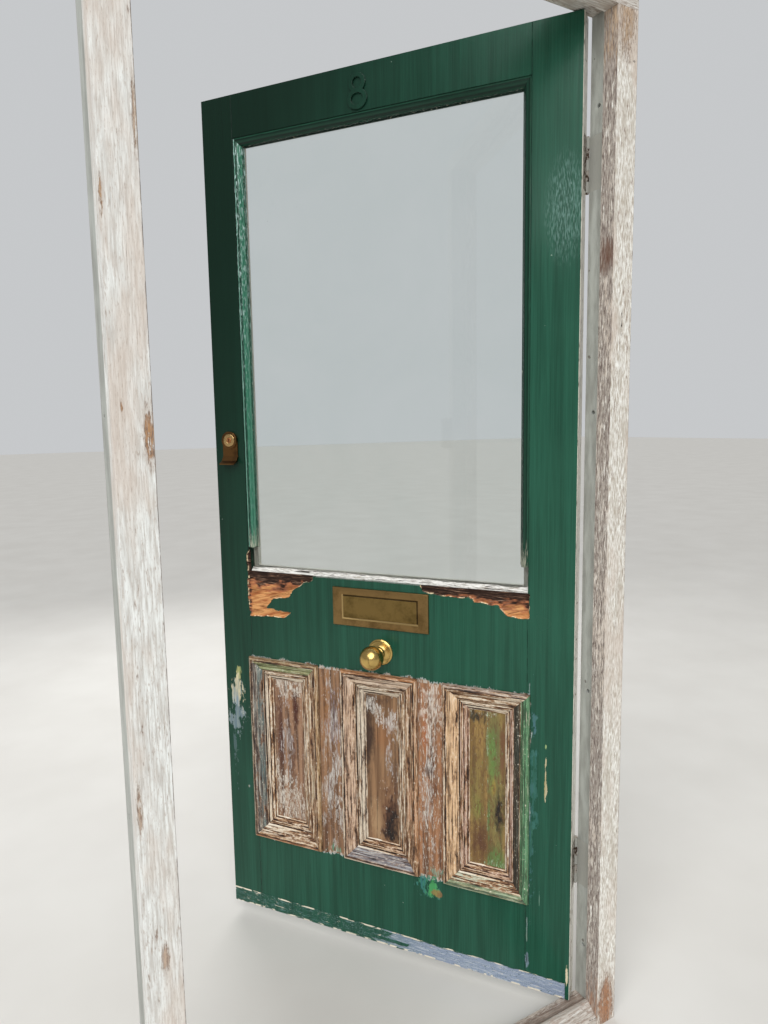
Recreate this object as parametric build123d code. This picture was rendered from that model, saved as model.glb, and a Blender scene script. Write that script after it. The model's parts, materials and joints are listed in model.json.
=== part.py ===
from build123d import *
import math
import os

os.makedirs("parts", exist_ok=True)

# Panelled and glazed front door in its rebated timber frame, in millimetres.
# X runs to the right seen from outside, Y runs inward, Z runs up.
# The origin is on the underside of the frame, midway between the posts and midway through their depth.
# Heights on the leaf are measured from its lower edge, widths on it from its hinge edge.

# Leaf
LEAF_WIDTH = 864.0
LEAF_HEIGHT = 1981.0
LEAF_THICKNESS = 40.0
OPEN_ANGLE = 54.5
HINGE_STILE = 96.0
LATCH_STILE = 82.0
TOP_RAIL = 93.0
LOCK_RAIL_BOTTOM = 664.0
LOCK_RAIL = 220.0
BOTTOM_RAIL = 207.0
MUNTIN = 74.0
PANEL_NAMES = ["left", "centre", "right"]

# Frame
POST_FACE = 52.0
HEAD_FACE = 52.0
STOP_DEPTH = 32.5
STOP_PROJECTION = 12.0
LEAF_GAP = 3.0
STOP_GAP = 1.5
SILL_GAP = 6.0
TREAD_HEIGHT = 28.0
UPSTAND_HEIGHT = 15.0
UPSTAND_TOP = 8.0
NOSE_HEIGHT = 20.0

# Joints in the wood
JOINT_FIT = 0.1
TENON_THICKNESS = 12.0
TENON_SHOULDER = 15.0
TWIN_TENON_SPACE = 44.0
WEDGE_THICKNESS = 3.0
WEDGE_LENGTH = 45.0
STUB_TENON = 40.0
FRAME_TENON = 30.0
END_ROOM = 1.0
GROOVE_DEPTH = 9.0
GROOVE_FIT = 0.15
PANEL_THICKNESS = 10.0
PANEL_RECESS = 15.0
PANEL_EDGE_ROOM = 1.0

# Mouldings round the panels
BOLECTION_LAP = 7.0
BOLECTION_WIDTH = 57.0
BOLECTION_RISE = 11.0
BOLECTION_CROWN = 6.0
BOLECTION_FALL = 2.0
BOLECTION_HOLLOW = 10.0
BOLECTION_OVOLO = 12.0
BOLECTION_SINK = 4.0
BOLECTION_STEP = 3.0
BOLECTION_BEAD = 9.0
BOLECTION_ARRIS = 2.0
MOULDING_FIT = 0.3
BACK_MOULDING = 18.0

# Glazing
GLASS_THICKNESS = 4.0
GLASS_RECESS = 20.0
GLASS_ROOM = 2.0
GLAZING_MOULDING = 20.0
GLAZING_QUIRK = 2.0
GLAZING_BEAD = 14.0
PUTTY_HEIGHT = 13.0
PUTTY_FRONT = 11.5
LOST_MOULDING_LATCH = 57.0
LOST_MOULDING_HINGE = 51.0

# Rotted pockets in the face of the lock rail
# Corners as the distance in from the nearer edge of the leaf and the rise above the rail
ROT_DEPTH = 11.0
ROT_LATCH = [
    (82, 57), (75, 41), (75, -64), (80, -111), (179, -107), (197, -92), (131, -85),
    (147, -63), (192, -56), (213, -31), (262, -8), (262, 2), (82, 2),
]
ROT_HINGE = [
    (337, 2), (328, -12), (315, -19), (215, -20), (211, -27), (160, -31), (139, -50),
    (115, -53), (92, -53), (92, 2),
]

# Butt hinges
HINGE_HEIGHT = 100.0
LOWER_HINGE_HEIGHT = 250.0
UPPER_HINGE_DEPTH = 209.0
FLAP_THICKNESS = 2.5
FLAP_WIDTH = 30.0
KNUCKLE_RADIUS = 4.0
KNUCKLE_STAND = 4.5
KNUCKLES = 5
KNUCKLE_GAP = 0.3
PIN_RADIUS = 2.0
PIN_FIT = 0.05
PIN_TIP = 2.5
SCREW_LENGTH = 28.0
SCREW_RADIUS = 2.0
SCREW_HEAD_RADIUS = 4.0
SCREW_FIT = 0.05
SCREWS_PER_FLAP = 3

# Letter plate and its flap
PLATE_WIDTH = 236.0
PLATE_HEIGHT = 89.0
PLATE_THICKNESS = 5.0
PLATE_DEPTH_BELOW_RAIL_TOP = 62.0
PLATE_END_WIDTH = 27.5
PLATE_EDGE_WIDTH = 19.5
FLAP_SHEET = 3.0
FLAP_ROOM = 1.25
BARREL_RADIUS = 3.4
FLAP_PIN_RADIUS = 1.5
EAR_THICKNESS = 4.0
SPRING_SPAN = 24.0
SPRING_WIRE = 0.8
PLATE_BOLT_RADIUS = 2.5

# Centre knob
KNOB_HEIGHT_ABOVE_RAIL_FOOT = 59.0
KNOB_RADIUS = 27.0
KNOB_CENTRE_OUT = 48.0
ROSE_RADIUS = 30.0
ROSE_HEIGHT = 12.0
KNOB_BOLT_RADIUS = 4.0
KNOB_NUT_RADIUS = 7.5
KNOB_NUT_HEIGHT = 6.5
KNOB_WASHER_RADIUS = 12.0
KNOB_WASHER_THICKNESS = 2.0

# House numeral
NUMERAL_INSET = 463.0
NUMERAL_DEPTH = 53.0
NUMERAL_WIDTH = 46.0
NUMERAL_HEIGHT = 73.0
NUMERAL_STROKE = 9.0
NUMERAL_THICKNESS = 4.0
NUMERAL_SPIKE = 10.0
NUMERAL_SPIKE_RADIUS = 1.5

# Night latch
CYLINDER_BACKSET = 43.0
CYLINDER_UP = 1204.0
CYLINDER_RADIUS = 15.0
CYLINDER_FIT = 0.5
PULL_RADIUS = 21.0
PULL_DROP = 58.0
PULL_SHEET = 3.0
PULL_LIP = 20.0
RING_HEIGHT = 7.0
PLUG_RADIUS = 6.5
PLUG_FIT = 0.1
TAIL_WIDTH = 6.0
TAIL_THICKNESS = 2.0
CASE_WIDTH = 66.0
CASE_HEIGHT = 92.0
CASE_DEPTH = 28.0
CASE_WALL = 2.5
BOLT_THROW = 15.0
BOLT_PROJECTION = 16.0
BOLT_HEIGHT = 22.0
BOLT_DEPTH = 14.0
BOLT_LENGTH = 40.0
BOLT_FIT = 0.3
BOLT_STEM_RADIUS = 2.5
BOLT_SPRING_WIRE = 0.9
TURN_RADIUS = 16.0
TURN_HEIGHT = 20.0
TURN_ARM = 15.0
TURN_ARM_ANGLE = 30.0
TURN_PIN_RADIUS = 2.0
TURN_PIN_ROOM = 0.6
SPINDLE_RADIUS = 4.0
FORK_THICKNESS = 4.0
PILLAR_RADIUS = 4.5
CASE_SCREW_INSET = 10.0
SNIB_WIDTH = 9.0
SNIB_HEIGHT = 7.0
SNIB_RISE = 5.0
SNIB_TRAVEL = 8.0
SNIB_CLEARANCE = 2.0
KEEP_WIDTH = 34.0
KEEP_SET_BACK = 2.0
KEEP_WALL = 4.0
KEEP_ROOM = 2.5

# Weather strip let into the foot of the leaf
STRIP_HEIGHT = 38.0
STRIP_DEPTH = 8.0
STRIP_PROUD = 0.5
STRIP_HINGE_SET_BACK = 9.0

# Fixing holes through each post into the wall
FIXING_COUNT = 4
FIXING_RADIUS = 4.0
FIXING_END_DISTANCE = 150.0

# Places worked out from the sizes above
FLAP_LENGTH = PLATE_WIDTH - 2 * PLATE_END_WIDTH
FLAP_HEIGHT = PLATE_HEIGHT - 2 * PLATE_EDGE_WIDTH
FRAME_DEPTH = STOP_DEPTH + STOP_GAP + LEAF_THICKNESS
FRONT_Y = -FRAME_DEPTH / 2
INNER_Y = FRAME_DEPTH / 2
SHOULDER_Y = FRONT_Y + STOP_DEPTH
LEAF_FRONT = SHOULDER_Y + STOP_GAP
LEAF_BACK = LEAF_FRONT + LEAF_THICKNESS
LEAF_EDGE = LEAF_WIDTH / 2
REBATE_X = LEAF_EDGE + LEAF_GAP
STOP_X = REBATE_X - STOP_PROJECTION
POST_X = STOP_X + POST_FACE
LEAF_Z = TREAD_HEIGHT + SILL_GAP
HEAD_REBATE_Z = LEAF_Z + LEAF_HEIGHT + LEAF_GAP
HEAD_STOP_Z = HEAD_REBATE_Z - STOP_PROJECTION
FRAME_TOP = HEAD_STOP_Z + HEAD_FACE
HINGE_SIDE_X = LEAF_EDGE - HINGE_STILE
LATCH_SIDE_X = -LEAF_EDGE + LATCH_STILE
LOCK_RAIL_TOP = LOCK_RAIL_BOTTOM + LOCK_RAIL
GLAZING_TOP = LEAF_HEIGHT - TOP_RAIL
PANEL_OPENING = (HINGE_SIDE_X - LATCH_SIDE_X - 2 * MUNTIN) / 3
PANEL_PITCH = PANEL_OPENING + MUNTIN
TENON_Y = LEAF_FRONT + (LEAF_THICKNESS - TENON_THICKNESS) / 2
PANEL_Y = LEAF_FRONT + PANEL_RECESS
GLASS_Y = LEAF_FRONT + GLASS_RECESS
PIN_X = LEAF_EDGE + LEAF_GAP / 2
PIN_Y = LEAF_BACK + KNUCKLE_STAND
PLATE_UP = LOCK_RAIL_TOP - PLATE_DEPTH_BELOW_RAIL_TOP
KNOB_UP = LOCK_RAIL_BOTTOM + KNOB_HEIGHT_ABOVE_RAIL_FOOT
NUMERAL_UP = LEAF_HEIGHT - NUMERAL_DEPTH
LATCH_X = -LEAF_EDGE + CYLINDER_BACKSET
LATCH_Z = LEAF_Z + CYLINDER_UP
BOLT_Y = LEAF_BACK + CASE_DEPTH / 2
CASE_BACK = LEAF_BACK + CASE_DEPTH
TURN_X = -LEAF_EDGE + CASE_WIDTH * 0.62
CASE_SCREW_X = -LEAF_EDGE + CASE_WIDTH - CASE_WALL - PILLAR_RADIUS - 1
SNIB_Z = LATCH_Z + TURN_RADIUS + SNIB_CLEARANCE + SNIB_HEIGHT / 2


def up(height):
    """Row height of a height measured from the leaf's lower edge."""
    return LEAF_Z + height


def block(x0, x1, y0, y1, z0, z1):
    """Box between two corners."""
    return Pos((x0 + x1) / 2, (y0 + y1) / 2, (z0 + z1) / 2) * Box(x1 - x0, y1 - y0, z1 - z0)


def rod_y(x, z, radius, y0, y1):
    """Round bar along Y between two depths."""
    return Pos(x, (y0 + y1) / 2, z) * Rot(90, 0, 0) * Cylinder(radius, y1 - y0)


def rod_x(y, z, radius, x0, x1):
    """Round bar along X between two places."""
    return Pos((x0 + x1) / 2, y, z) * Rot(0, 90, 0) * Cylinder(radius, x1 - x0)


def rod_z(x, y, radius, z0, z1):
    """Round bar along Z between two heights."""
    return Pos(x, y, (z0 + z1) / 2) * Cylinder(radius, z1 - z0)


def as_opened(shape):
    """Turns a shape of the closed leaf about the hinge pins to the place where it stands open."""
    return Pos(PIN_X, PIN_Y, 0) * Rot(0, 0, -OPEN_ANGLE) * Pos(-PIN_X, -PIN_Y, 0) * shape


def solids_of(shape):
    """All solids of a shape, or of a list of shapes."""
    if isinstance(shape, list):
        return [solid for one in shape for solid in one.solids()]
    return list(shape.solids())


def save(name, shape, opened=False):
    """Writes one node: a single solid, or a group of like solids."""
    placed = as_opened(shape) if opened and not isinstance(shape, list) else shape
    if opened and isinstance(shape, list):
        placed = [as_opened(one) for one in shape]
    solids = solids_of(placed)
    body = solids[0] if len(solids) == 1 else Compound(children=solids)
    export_step(body, f"parts/{name}.step")
    print(f"{name}: {len(solids)} solid, {sum(solid.volume for solid in solids):.0f} mm3")


# Tenons and mortises

def tenon_spans(low, high):
    """Heights of a rail's tenons: one on a narrow rail, a pair on a deep one."""
    bottom = low + TENON_SHOULDER
    top = high - TENON_SHOULDER
    if high - low < 3 * TWIN_TENON_SPACE:
        return [(bottom, top)]
    middle = (low + high) / 2
    return [(bottom, middle - TWIN_TENON_SPACE / 2), (middle + TWIN_TENON_SPACE / 2, top)]


def rail_tenons(low, high, grow=0.0):
    """Through tenons of one rail at both ends, or with grow their mortises."""
    tenons = []
    for bottom, top in tenon_spans(low, high):
        for edge, shoulder in ((-LEAF_EDGE, LATCH_SIDE_X), (HINGE_SIDE_X, LEAF_EDGE)):
            y0 = TENON_Y - grow
            y1 = TENON_Y + TENON_THICKNESS + grow
            tenons.append(block(edge, shoulder, y0, y1, up(bottom) - grow, up(top) + grow))
    return tenons


def groove(x0, x1, low, high):
    """Panel groove as a block between two places and two heights."""
    y0 = PANEL_Y - GROOVE_FIT
    y1 = PANEL_Y + PANEL_THICKNESS + GROOVE_FIT
    return block(x0, x1, y0, y1, up(low), up(high))


def rot_pocket(side, corners):
    """Pocket of missing wood from its outline; side is 1 at the hinges, -1 at the latch."""
    rise = up(LOCK_RAIL_TOP)
    points = [(side * (LEAF_EDGE - inset), rise + height) for inset, height in corners]
    face = Plane.XZ * make_face(Polyline(*points, close=True))
    pocket = extrude(face, amount=ROT_DEPTH + 1, dir=(0, 1, 0))
    return Pos(0, LEAF_FRONT - 1, 0) * pocket


# Frame

def rebated_post(side):
    """Rebated post with a tenon into the head; side is 1 at the hinges, -1 at the latch."""
    stop = block(STOP_X, POST_X, FRONT_Y, SHOULDER_Y, 0, HEAD_STOP_Z)
    back = block(REBATE_X, POST_X, SHOULDER_Y, INNER_Y, 0, HEAD_REBATE_Z)
    post = stop + back + frame_tenon(0.0) - sill_tenon(1, JOINT_FIT)
    spacing = (HEAD_STOP_Z - 2 * FIXING_END_DISTANCE) / (FIXING_COUNT - 1)
    for index in range(FIXING_COUNT):
        height = FIXING_END_DISTANCE + index * spacing
        post -= rod_x((SHOULDER_Y + INNER_Y) / 2, height, FIXING_RADIUS, STOP_X, POST_X + 1)
    return post if side > 0 else mirror(post, about=Plane.YZ)


def frame_tenon(grow):
    """Tenon on the hinge-side post's top, or with grow the head's mortise."""
    x0 = REBATE_X + TENON_SHOULDER / 2 - grow
    x1 = POST_X - TENON_SHOULDER / 2 + grow
    y0 = SHOULDER_Y - grow
    y1 = SHOULDER_Y + TENON_THICKNESS + grow
    top = HEAD_REBATE_Z + FRAME_TENON + (END_ROOM if grow else 0)
    return block(x0, x1, y0, y1, HEAD_REBATE_Z - STOP_PROJECTION / 2, top)


def sill_tenon(side, grow):
    """Stub tenon on one end of the sill, or with grow the post's mortise."""
    reach = REBATE_X + FRAME_TENON * 0.5 + (END_ROOM if grow else 0)
    y0 = SHOULDER_Y + TENON_THICKNESS - grow
    y1 = SHOULDER_Y + 2 * TENON_THICKNESS + grow
    low = TREAD_HEIGHT / 4 - grow
    high = TREAD_HEIGHT * 3 / 4 + grow
    if side > 0:
        return block(REBATE_X - 1, reach, y0, y1, low, high)
    return block(-reach, -REBATE_X + 1, y0, y1, low, high)


def frame_head():
    """Head across both posts, rebated like them."""
    head = block(-POST_X, POST_X, FRONT_Y, SHOULDER_Y, HEAD_STOP_Z, FRAME_TOP)
    head += block(-POST_X, POST_X, SHOULDER_Y, INNER_Y, HEAD_REBATE_Z, FRAME_TOP)
    socket = frame_tenon(JOINT_FIT)
    return head - socket - mirror(socket, about=Plane.YZ)


def sill():
    """Sill between the posts: a tread under the leaf and a weathered upstand in front of it."""
    tread = block(-REBATE_X, REBATE_X, SHOULDER_Y, INNER_Y, 0, TREAD_HEIGHT)
    top = TREAD_HEIGHT + UPSTAND_HEIGHT
    section = Polyline(
        (SHOULDER_Y, 0),
        (SHOULDER_Y, top),
        (SHOULDER_Y - UPSTAND_TOP, top),
        (FRONT_Y, NOSE_HEIGHT),
        (FRONT_Y, 0),
        close=True,
    )
    upstand = extrude(Plane.YZ * make_face(section), amount=STOP_X, both=True)
    return tread + upstand + sill_tenon(1, 0.0) + sill_tenon(-1, 0.0)


# Stiles, rails and muntins of the leaf

def stile(edge, shoulder, pocket):
    """Upright of the leaf with mortises for three rails, a panel groove and its share of the rot."""
    x0, x1 = sorted((edge, shoulder))
    upright = block(x0, x1, LEAF_FRONT, LEAF_BACK, up(0), up(LEAF_HEIGHT))
    inward = 1 if shoulder > edge else -1
    groove_x = sorted((shoulder, shoulder - inward * GROOVE_DEPTH))
    low = BOTTOM_RAIL - GROOVE_DEPTH
    high = LOCK_RAIL_BOTTOM + GROOVE_DEPTH
    upright -= groove(groove_x[0], groove_x[1], low, high)
    for bottom, top in rail_heights():
        for mortise in rail_tenons(bottom, top, JOINT_FIT):
            upright -= mortise
    for low, high in all_tenon_spans():
        upright -= tenon_wedge(inward, high, 1, JOINT_FIT) + tenon_wedge(inward, low, -1, JOINT_FIT)
    return upright - pocket


def all_tenon_spans():
    """Heights of every through tenon, from the foot of the leaf to its top."""
    return [span for low, high in rail_heights() for span in tenon_spans(low, high)]


def tenon_wedge(inward, height, upward, grow=0.0):
    """Wedge driven beside a through tenon at the leaf's edge, or with grow its share of the mortise."""
    edge = -inward * LEAF_EDGE
    tip = edge + inward * WEDGE_LENGTH
    base = up(height) + upward * (JOINT_FIT if not grow else 0)
    top = base + upward * WEDGE_THICKNESS
    outline = Polyline(
        (edge, base),
        (edge, top + upward * grow),
        (tip, base + upward * (0.4 + grow)),
        (tip, base),
        close=True,
    )
    wedge = extrude(Plane.XZ * make_face(outline), amount=TENON_THICKNESS / 2 + grow, both=True)
    return Pos(0, TENON_Y + TENON_THICKNESS / 2, 0) * wedge


def tenon_wedges():
    """A wedge above and below every through tenon at both edges of the leaf."""
    wedges = []
    for low, high in all_tenon_spans():
        for inward in (-1, 1):
            wedges.append(tenon_wedge(inward, high, 1))
            wedges.append(tenon_wedge(inward, low, -1))
    return wedges


def rail_heights():
    """Lower and upper edge of the bottom, lock and top rails."""
    return [(0, BOTTOM_RAIL), (LOCK_RAIL_BOTTOM, LOCK_RAIL_TOP), (GLAZING_TOP, LEAF_HEIGHT)]


def rail(index):
    """Rail between the stiles, with its through tenons."""
    low, high = rail_heights()[index]
    board = block(LATCH_SIDE_X, HINGE_SIDE_X, LEAF_FRONT, LEAF_BACK, up(low), up(high))
    for tenon in rail_tenons(low, high):
        board += tenon
    return board


def muntin_x(index):
    """Left edge of a muntin between two panels."""
    return LATCH_SIDE_X + PANEL_OPENING + index * PANEL_PITCH


def muntin_tenon(index, low, high, grow=0.0):
    """Stub tenon of a muntin between two heights."""
    x0 = muntin_x(index) + TENON_SHOULDER - grow
    x1 = muntin_x(index) + MUNTIN - TENON_SHOULDER + grow
    return block(x0, x1, TENON_Y - grow, TENON_Y + TENON_THICKNESS + grow, up(low), up(high))


def muntin(index):
    """Upright between two panels, grooved on both edges, with a stub tenon at each end."""
    x0 = muntin_x(index)
    x1 = x0 + MUNTIN
    upright = block(x0, x1, LEAF_FRONT, LEAF_BACK, up(BOTTOM_RAIL), up(LOCK_RAIL_BOTTOM))
    upright -= groove(x0, x0 + GROOVE_DEPTH, BOTTOM_RAIL, LOCK_RAIL_BOTTOM)
    upright -= groove(x1 - GROOVE_DEPTH, x1, BOTTOM_RAIL, LOCK_RAIL_BOTTOM)
    upright += muntin_tenon(index, BOTTOM_RAIL - STUB_TENON, BOTTOM_RAIL)
    upright += muntin_tenon(index, LOCK_RAIL_BOTTOM, LOCK_RAIL_BOTTOM + STUB_TENON)
    return upright


def bottom_rail():
    """Bottom rail with the panel groove, the muntins' mortises and the strip's rebate."""
    board = rail(0) - groove(LATCH_SIDE_X, HINGE_SIDE_X, BOTTOM_RAIL - GROOVE_DEPTH, BOTTOM_RAIL)
    for index in range(2):
        board -= muntin_tenon(index, BOTTOM_RAIL - STUB_TENON - END_ROOM, BOTTOM_RAIL, JOINT_FIT)
    return board - strip_rebate()


def lock_rail():
    """Lock rail with the letter slot, the knob's bolt hole and the rotted pockets."""
    low = LOCK_RAIL_BOTTOM
    board = rail(1) - groove(LATCH_SIDE_X, HINGE_SIDE_X, low, low + GROOVE_DEPTH)
    for index in range(2):
        board -= muntin_tenon(index, low, low + STUB_TENON + END_ROOM, JOINT_FIT)
    board -= rot_pocket(-1, ROT_LATCH) + rot_pocket(1, ROT_HINGE)
    board -= letter_slot()
    for x in plate_bolt_places():
        board -= rod_y(x, up(PLATE_UP), PLATE_BOLT_RADIUS + SCREW_FIT, LEAF_FRONT - 1, LEAF_BACK + 1)
    board -= rod_y(0, up(KNOB_UP), KNOB_BOLT_RADIUS + JOINT_FIT, LEAF_FRONT - 1, LEAF_BACK + 1)
    return board


def top_rail():
    """Top rail with the numeral's two spike holes."""
    board = rail(2)
    for spike in numeral_spikes(SCREW_FIT, END_ROOM):
        board -= spike
    return board


# Panels and their mouldings

def panel_x(index):
    """Left edge of a panel opening, counted from the latch side."""
    return LATCH_SIDE_X + index * PANEL_PITCH


def panel(index):
    """Flat panel held in the grooves all round."""
    reach = GROOVE_DEPTH - PANEL_EDGE_ROOM
    x0 = panel_x(index) - reach
    x1 = panel_x(index) + PANEL_OPENING + reach
    low = BOTTOM_RAIL - reach
    high = LOCK_RAIL_BOTTOM + reach
    return block(x0, x1, PANEL_Y, PANEL_Y + PANEL_THICKNESS, up(low), up(high))


def mitred_frame(section, width, height, band, centre_x, centre_z, sides=(0, 1, 2, 3)):
    """Lengths of one moulding, mitred at the corners, round an upright rectangle.

    The section lies in X and Y with its outer edge on X = 0 and runs inward along +X.
    Sides are counted from the left one, against the clock seen from inside the house.
    """
    lengths = []
    for side in sides:
        run, across = (height, width) if side % 2 == 0 else (width, height)
        bar = extrude(section, amount=run / 2, both=True)
        half = run / 2
        corners = Polyline((0, -half), (0, half), (band, half - band), (band, band - half), close=True)
        wedge = extrude(Plane.XZ * make_face(corners), amount=FRAME_DEPTH, both=True)
        length = Pos(-across / 2, 0, 0) * (bar & wedge)
        lengths.append(Pos(centre_x, 0, centre_z) * Rot(0, 90 * side, 0) * length)
    return lengths


def bolection_section():
    """Section of the raised moulding: round nosing over the framing, ogee, bead and inner slope."""
    face = LEAF_FRONT
    field = PANEL_Y
    lap = BOLECTION_LAP
    width = BOLECTION_WIDTH
    crest = face - BOLECTION_RISE
    nosing = (0, face - BOLECTION_RISE / 2)
    crown = (lap, crest)
    quirk = (crown[0] + BOLECTION_CROWN, crest + BOLECTION_FALL)
    hollow = (quirk[0] + BOLECTION_HOLLOW, face - BOLECTION_ARRIS / 2)
    step_top = (hollow[0] + BOLECTION_OVOLO, face + BOLECTION_SINK)
    step_foot = (step_top[0] + BOLECTION_STEP / 3, step_top[1] + BOLECTION_STEP)
    bead_end = (step_foot[0] + BOLECTION_BEAD, step_foot[1] + BOLECTION_ARRIS / 2)
    arris = (width - BOLECTION_ARRIS, field - BOLECTION_ARRIS)
    edges = [
        Line((0, face), nosing),
        RadiusArc(nosing, crown, -BOLECTION_LAP),
        Line(crown, quirk),
        RadiusArc(quirk, hollow, 1.6 * BOLECTION_HOLLOW),
        RadiusArc(hollow, step_top, -1.35 * BOLECTION_OVOLO),
        Line(step_top, step_foot),
        RadiusArc(step_foot, bead_end, -0.65 * BOLECTION_BEAD),
        Line(bead_end, arris),
        Line(arris, (width, field)),
        Line((width, field), (lap + MOULDING_FIT, field)),
        Line((lap + MOULDING_FIT, field), (lap + MOULDING_FIT, face)),
        Line((lap + MOULDING_FIT, face), (0, face)),
    ]
    return make_face(Wire(edges))


def bolection(index):
    """Four mitred lengths of the raised moulding round one panel."""
    width = PANEL_OPENING + 2 * BOLECTION_LAP
    height = LOCK_RAIL_BOTTOM - BOTTOM_RAIL + 2 * BOLECTION_LAP
    centre_x = panel_x(index) + PANEL_OPENING / 2
    centre_z = up((LOCK_RAIL_BOTTOM + BOTTOM_RAIL) / 2)
    return mitred_frame(bolection_section(), width, height, BOLECTION_WIDTH, centre_x, centre_z)


def back_moulding_section():
    """Quarter-round moulding that closes the panel's inner side, flush with the leaf."""
    low = PANEL_Y + PANEL_THICKNESS
    high = LEAF_BACK
    radius = min(BACK_MOULDING, high - low) - 3
    edges = [
        Line((0, low), (0, high)),
        Line((0, high), (BACK_MOULDING - radius, high)),
        RadiusArc((BACK_MOULDING - radius, high), (BACK_MOULDING, high - radius), radius),
        Line((BACK_MOULDING, high - radius), (BACK_MOULDING, low)),
        Line((BACK_MOULDING, low), (0, low)),
    ]
    return make_face(Wire(edges))


def back_moulding(index):
    """Four mitred lengths round one panel on the inner side."""
    width = PANEL_OPENING - 2 * MOULDING_FIT
    height = LOCK_RAIL_BOTTOM - BOTTOM_RAIL - 2 * MOULDING_FIT
    centre_x = panel_x(index) + PANEL_OPENING / 2
    centre_z = up((LOCK_RAIL_BOTTOM + BOTTOM_RAIL) / 2)
    return mitred_frame(back_moulding_section(), width, height, BACK_MOULDING, centre_x, centre_z)


# Glazing

def glazing_section():
    """Ovolo moulding outside the glass, set back behind a quirk."""
    front = LEAF_FRONT + GLAZING_QUIRK
    radius = GLAZING_MOULDING - 5
    edges = [
        Line((0, GLASS_Y), (0, front)),
        Line((0, front), (3, front)),
        RadiusArc((3, front), (3 + radius, front + radius), -radius),
        Line((3 + radius, front + radius), (GLAZING_MOULDING, front + radius)),
        Line((GLAZING_MOULDING, front + radius), (GLAZING_MOULDING, GLASS_Y)),
        Line((GLAZING_MOULDING, GLASS_Y), (0, GLASS_Y)),
    ]
    return make_face(Wire(edges))


def bead_section():
    """Bead behind the glass with one rounded arris."""
    low = GLASS_Y + GLASS_THICKNESS
    high = LEAF_BACK
    radius = GLAZING_BEAD / 2
    edges = [
        Line((0, low), (0, high)),
        Line((0, high), (GLAZING_BEAD - radius, high)),
        RadiusArc((GLAZING_BEAD - radius, high), (GLAZING_BEAD, high - radius), radius),
        Line((GLAZING_BEAD, high - radius), (GLAZING_BEAD, low)),
        Line((GLAZING_BEAD, low), (0, low)),
    ]
    return make_face(Wire(edges))


def glazing_frame(section, band, sides):
    """Mitred lengths round the glazed opening."""
    width = HINGE_SIDE_X - LATCH_SIDE_X
    height = GLAZING_TOP - LOCK_RAIL_TOP
    centre_x = (HINGE_SIDE_X + LATCH_SIDE_X) / 2
    centre_z = up((GLAZING_TOP + LOCK_RAIL_TOP) / 2)
    return mitred_frame(section, width, height, band, centre_x, centre_z, sides)


def glazing_moulding(side):
    """One length outside the glass; the two uprights end raggedly above the rotted corners."""
    length = glazing_frame(glazing_section(), GLAZING_MOULDING, (side,))[0]
    if side == 0:
        lost = up(LOCK_RAIL_TOP + LOST_MOULDING_LATCH)
        return length - block(-LEAF_EDGE, 0, FRONT_Y, INNER_Y, up(0), lost)
    if side == 2:
        lost = up(LOCK_RAIL_TOP + LOST_MOULDING_HINGE)
        return length - block(0, LEAF_EDGE, FRONT_Y, INNER_Y, up(0), lost)
    return length


def glass():
    """Pane standing on the lock rail between mouldings and beads."""
    x0 = LATCH_SIDE_X + GLASS_ROOM
    x1 = HINGE_SIDE_X - GLASS_ROOM
    top = up(GLAZING_TOP - GLASS_ROOM)
    return block(x0, x1, GLASS_Y, GLASS_Y + GLASS_THICKNESS, up(LOCK_RAIL_TOP), top)


def putty_bed():
    """Sloping bed of old putty in front of the pane's foot, where the lower moulding is lost."""
    base = up(LOCK_RAIL_TOP)
    front = LEAF_FRONT + PUTTY_FRONT
    top = base + PUTTY_HEIGHT
    section = Polyline((front, base), (front, base + 2), (GLASS_Y, top), (GLASS_Y, base), close=True)
    half = (HINGE_SIDE_X - LATCH_SIDE_X) / 2
    bed = extrude(Plane.YZ * make_face(section), amount=half, both=True)
    return Pos((HINGE_SIDE_X + LATCH_SIDE_X) / 2, 0, 0) * bed


# Weather strip

def strip_rebate():
    """Rebate that takes the strip, across the foot of the leaf."""
    x1 = LEAF_EDGE - STRIP_HINGE_SET_BACK
    return block(-LEAF_EDGE - 1, x1, LEAF_FRONT - 1, LEAF_FRONT + STRIP_DEPTH, up(-1), up(STRIP_HEIGHT))


def weather_strip():
    """Strip along the foot of the leaf with a bevelled upper arris."""
    proud = LEAF_FRONT - STRIP_PROUD
    x1 = LEAF_EDGE - STRIP_HINGE_SET_BACK
    section = Polyline(
        (LEAF_FRONT + STRIP_DEPTH, up(0)),
        (LEAF_FRONT + STRIP_DEPTH, up(STRIP_HEIGHT)),
        (LEAF_FRONT, up(STRIP_HEIGHT)),
        (proud, up(STRIP_HEIGHT - 2)),
        (proud, up(0)),
        close=True,
    )
    half = (x1 + LEAF_EDGE) / 2
    return Pos(x1 - half, 0, 0) * extrude(Plane.YZ * make_face(section), amount=half, both=True)


# Hinges

def knuckle_spans(base, first):
    """Heights of every second knuckle, starting with the given one."""
    pitch = HINGE_HEIGHT / KNUCKLES
    spans = []
    for index in range(first, KNUCKLES, 2):
        low = base + index * pitch + (KNUCKLE_GAP / 2 if index else 0)
        high = base + (index + 1) * pitch - (KNUCKLE_GAP / 2 if index < KNUCKLES - 1 else 0)
        spans.append((low, high))
    return spans


def screw_heights(base):
    """Heights of the screws of one flap."""
    pitch = HINGE_HEIGHT / SCREWS_PER_FLAP
    return [base + (index + 0.5) * pitch for index in range(SCREWS_PER_FLAP)]


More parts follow.
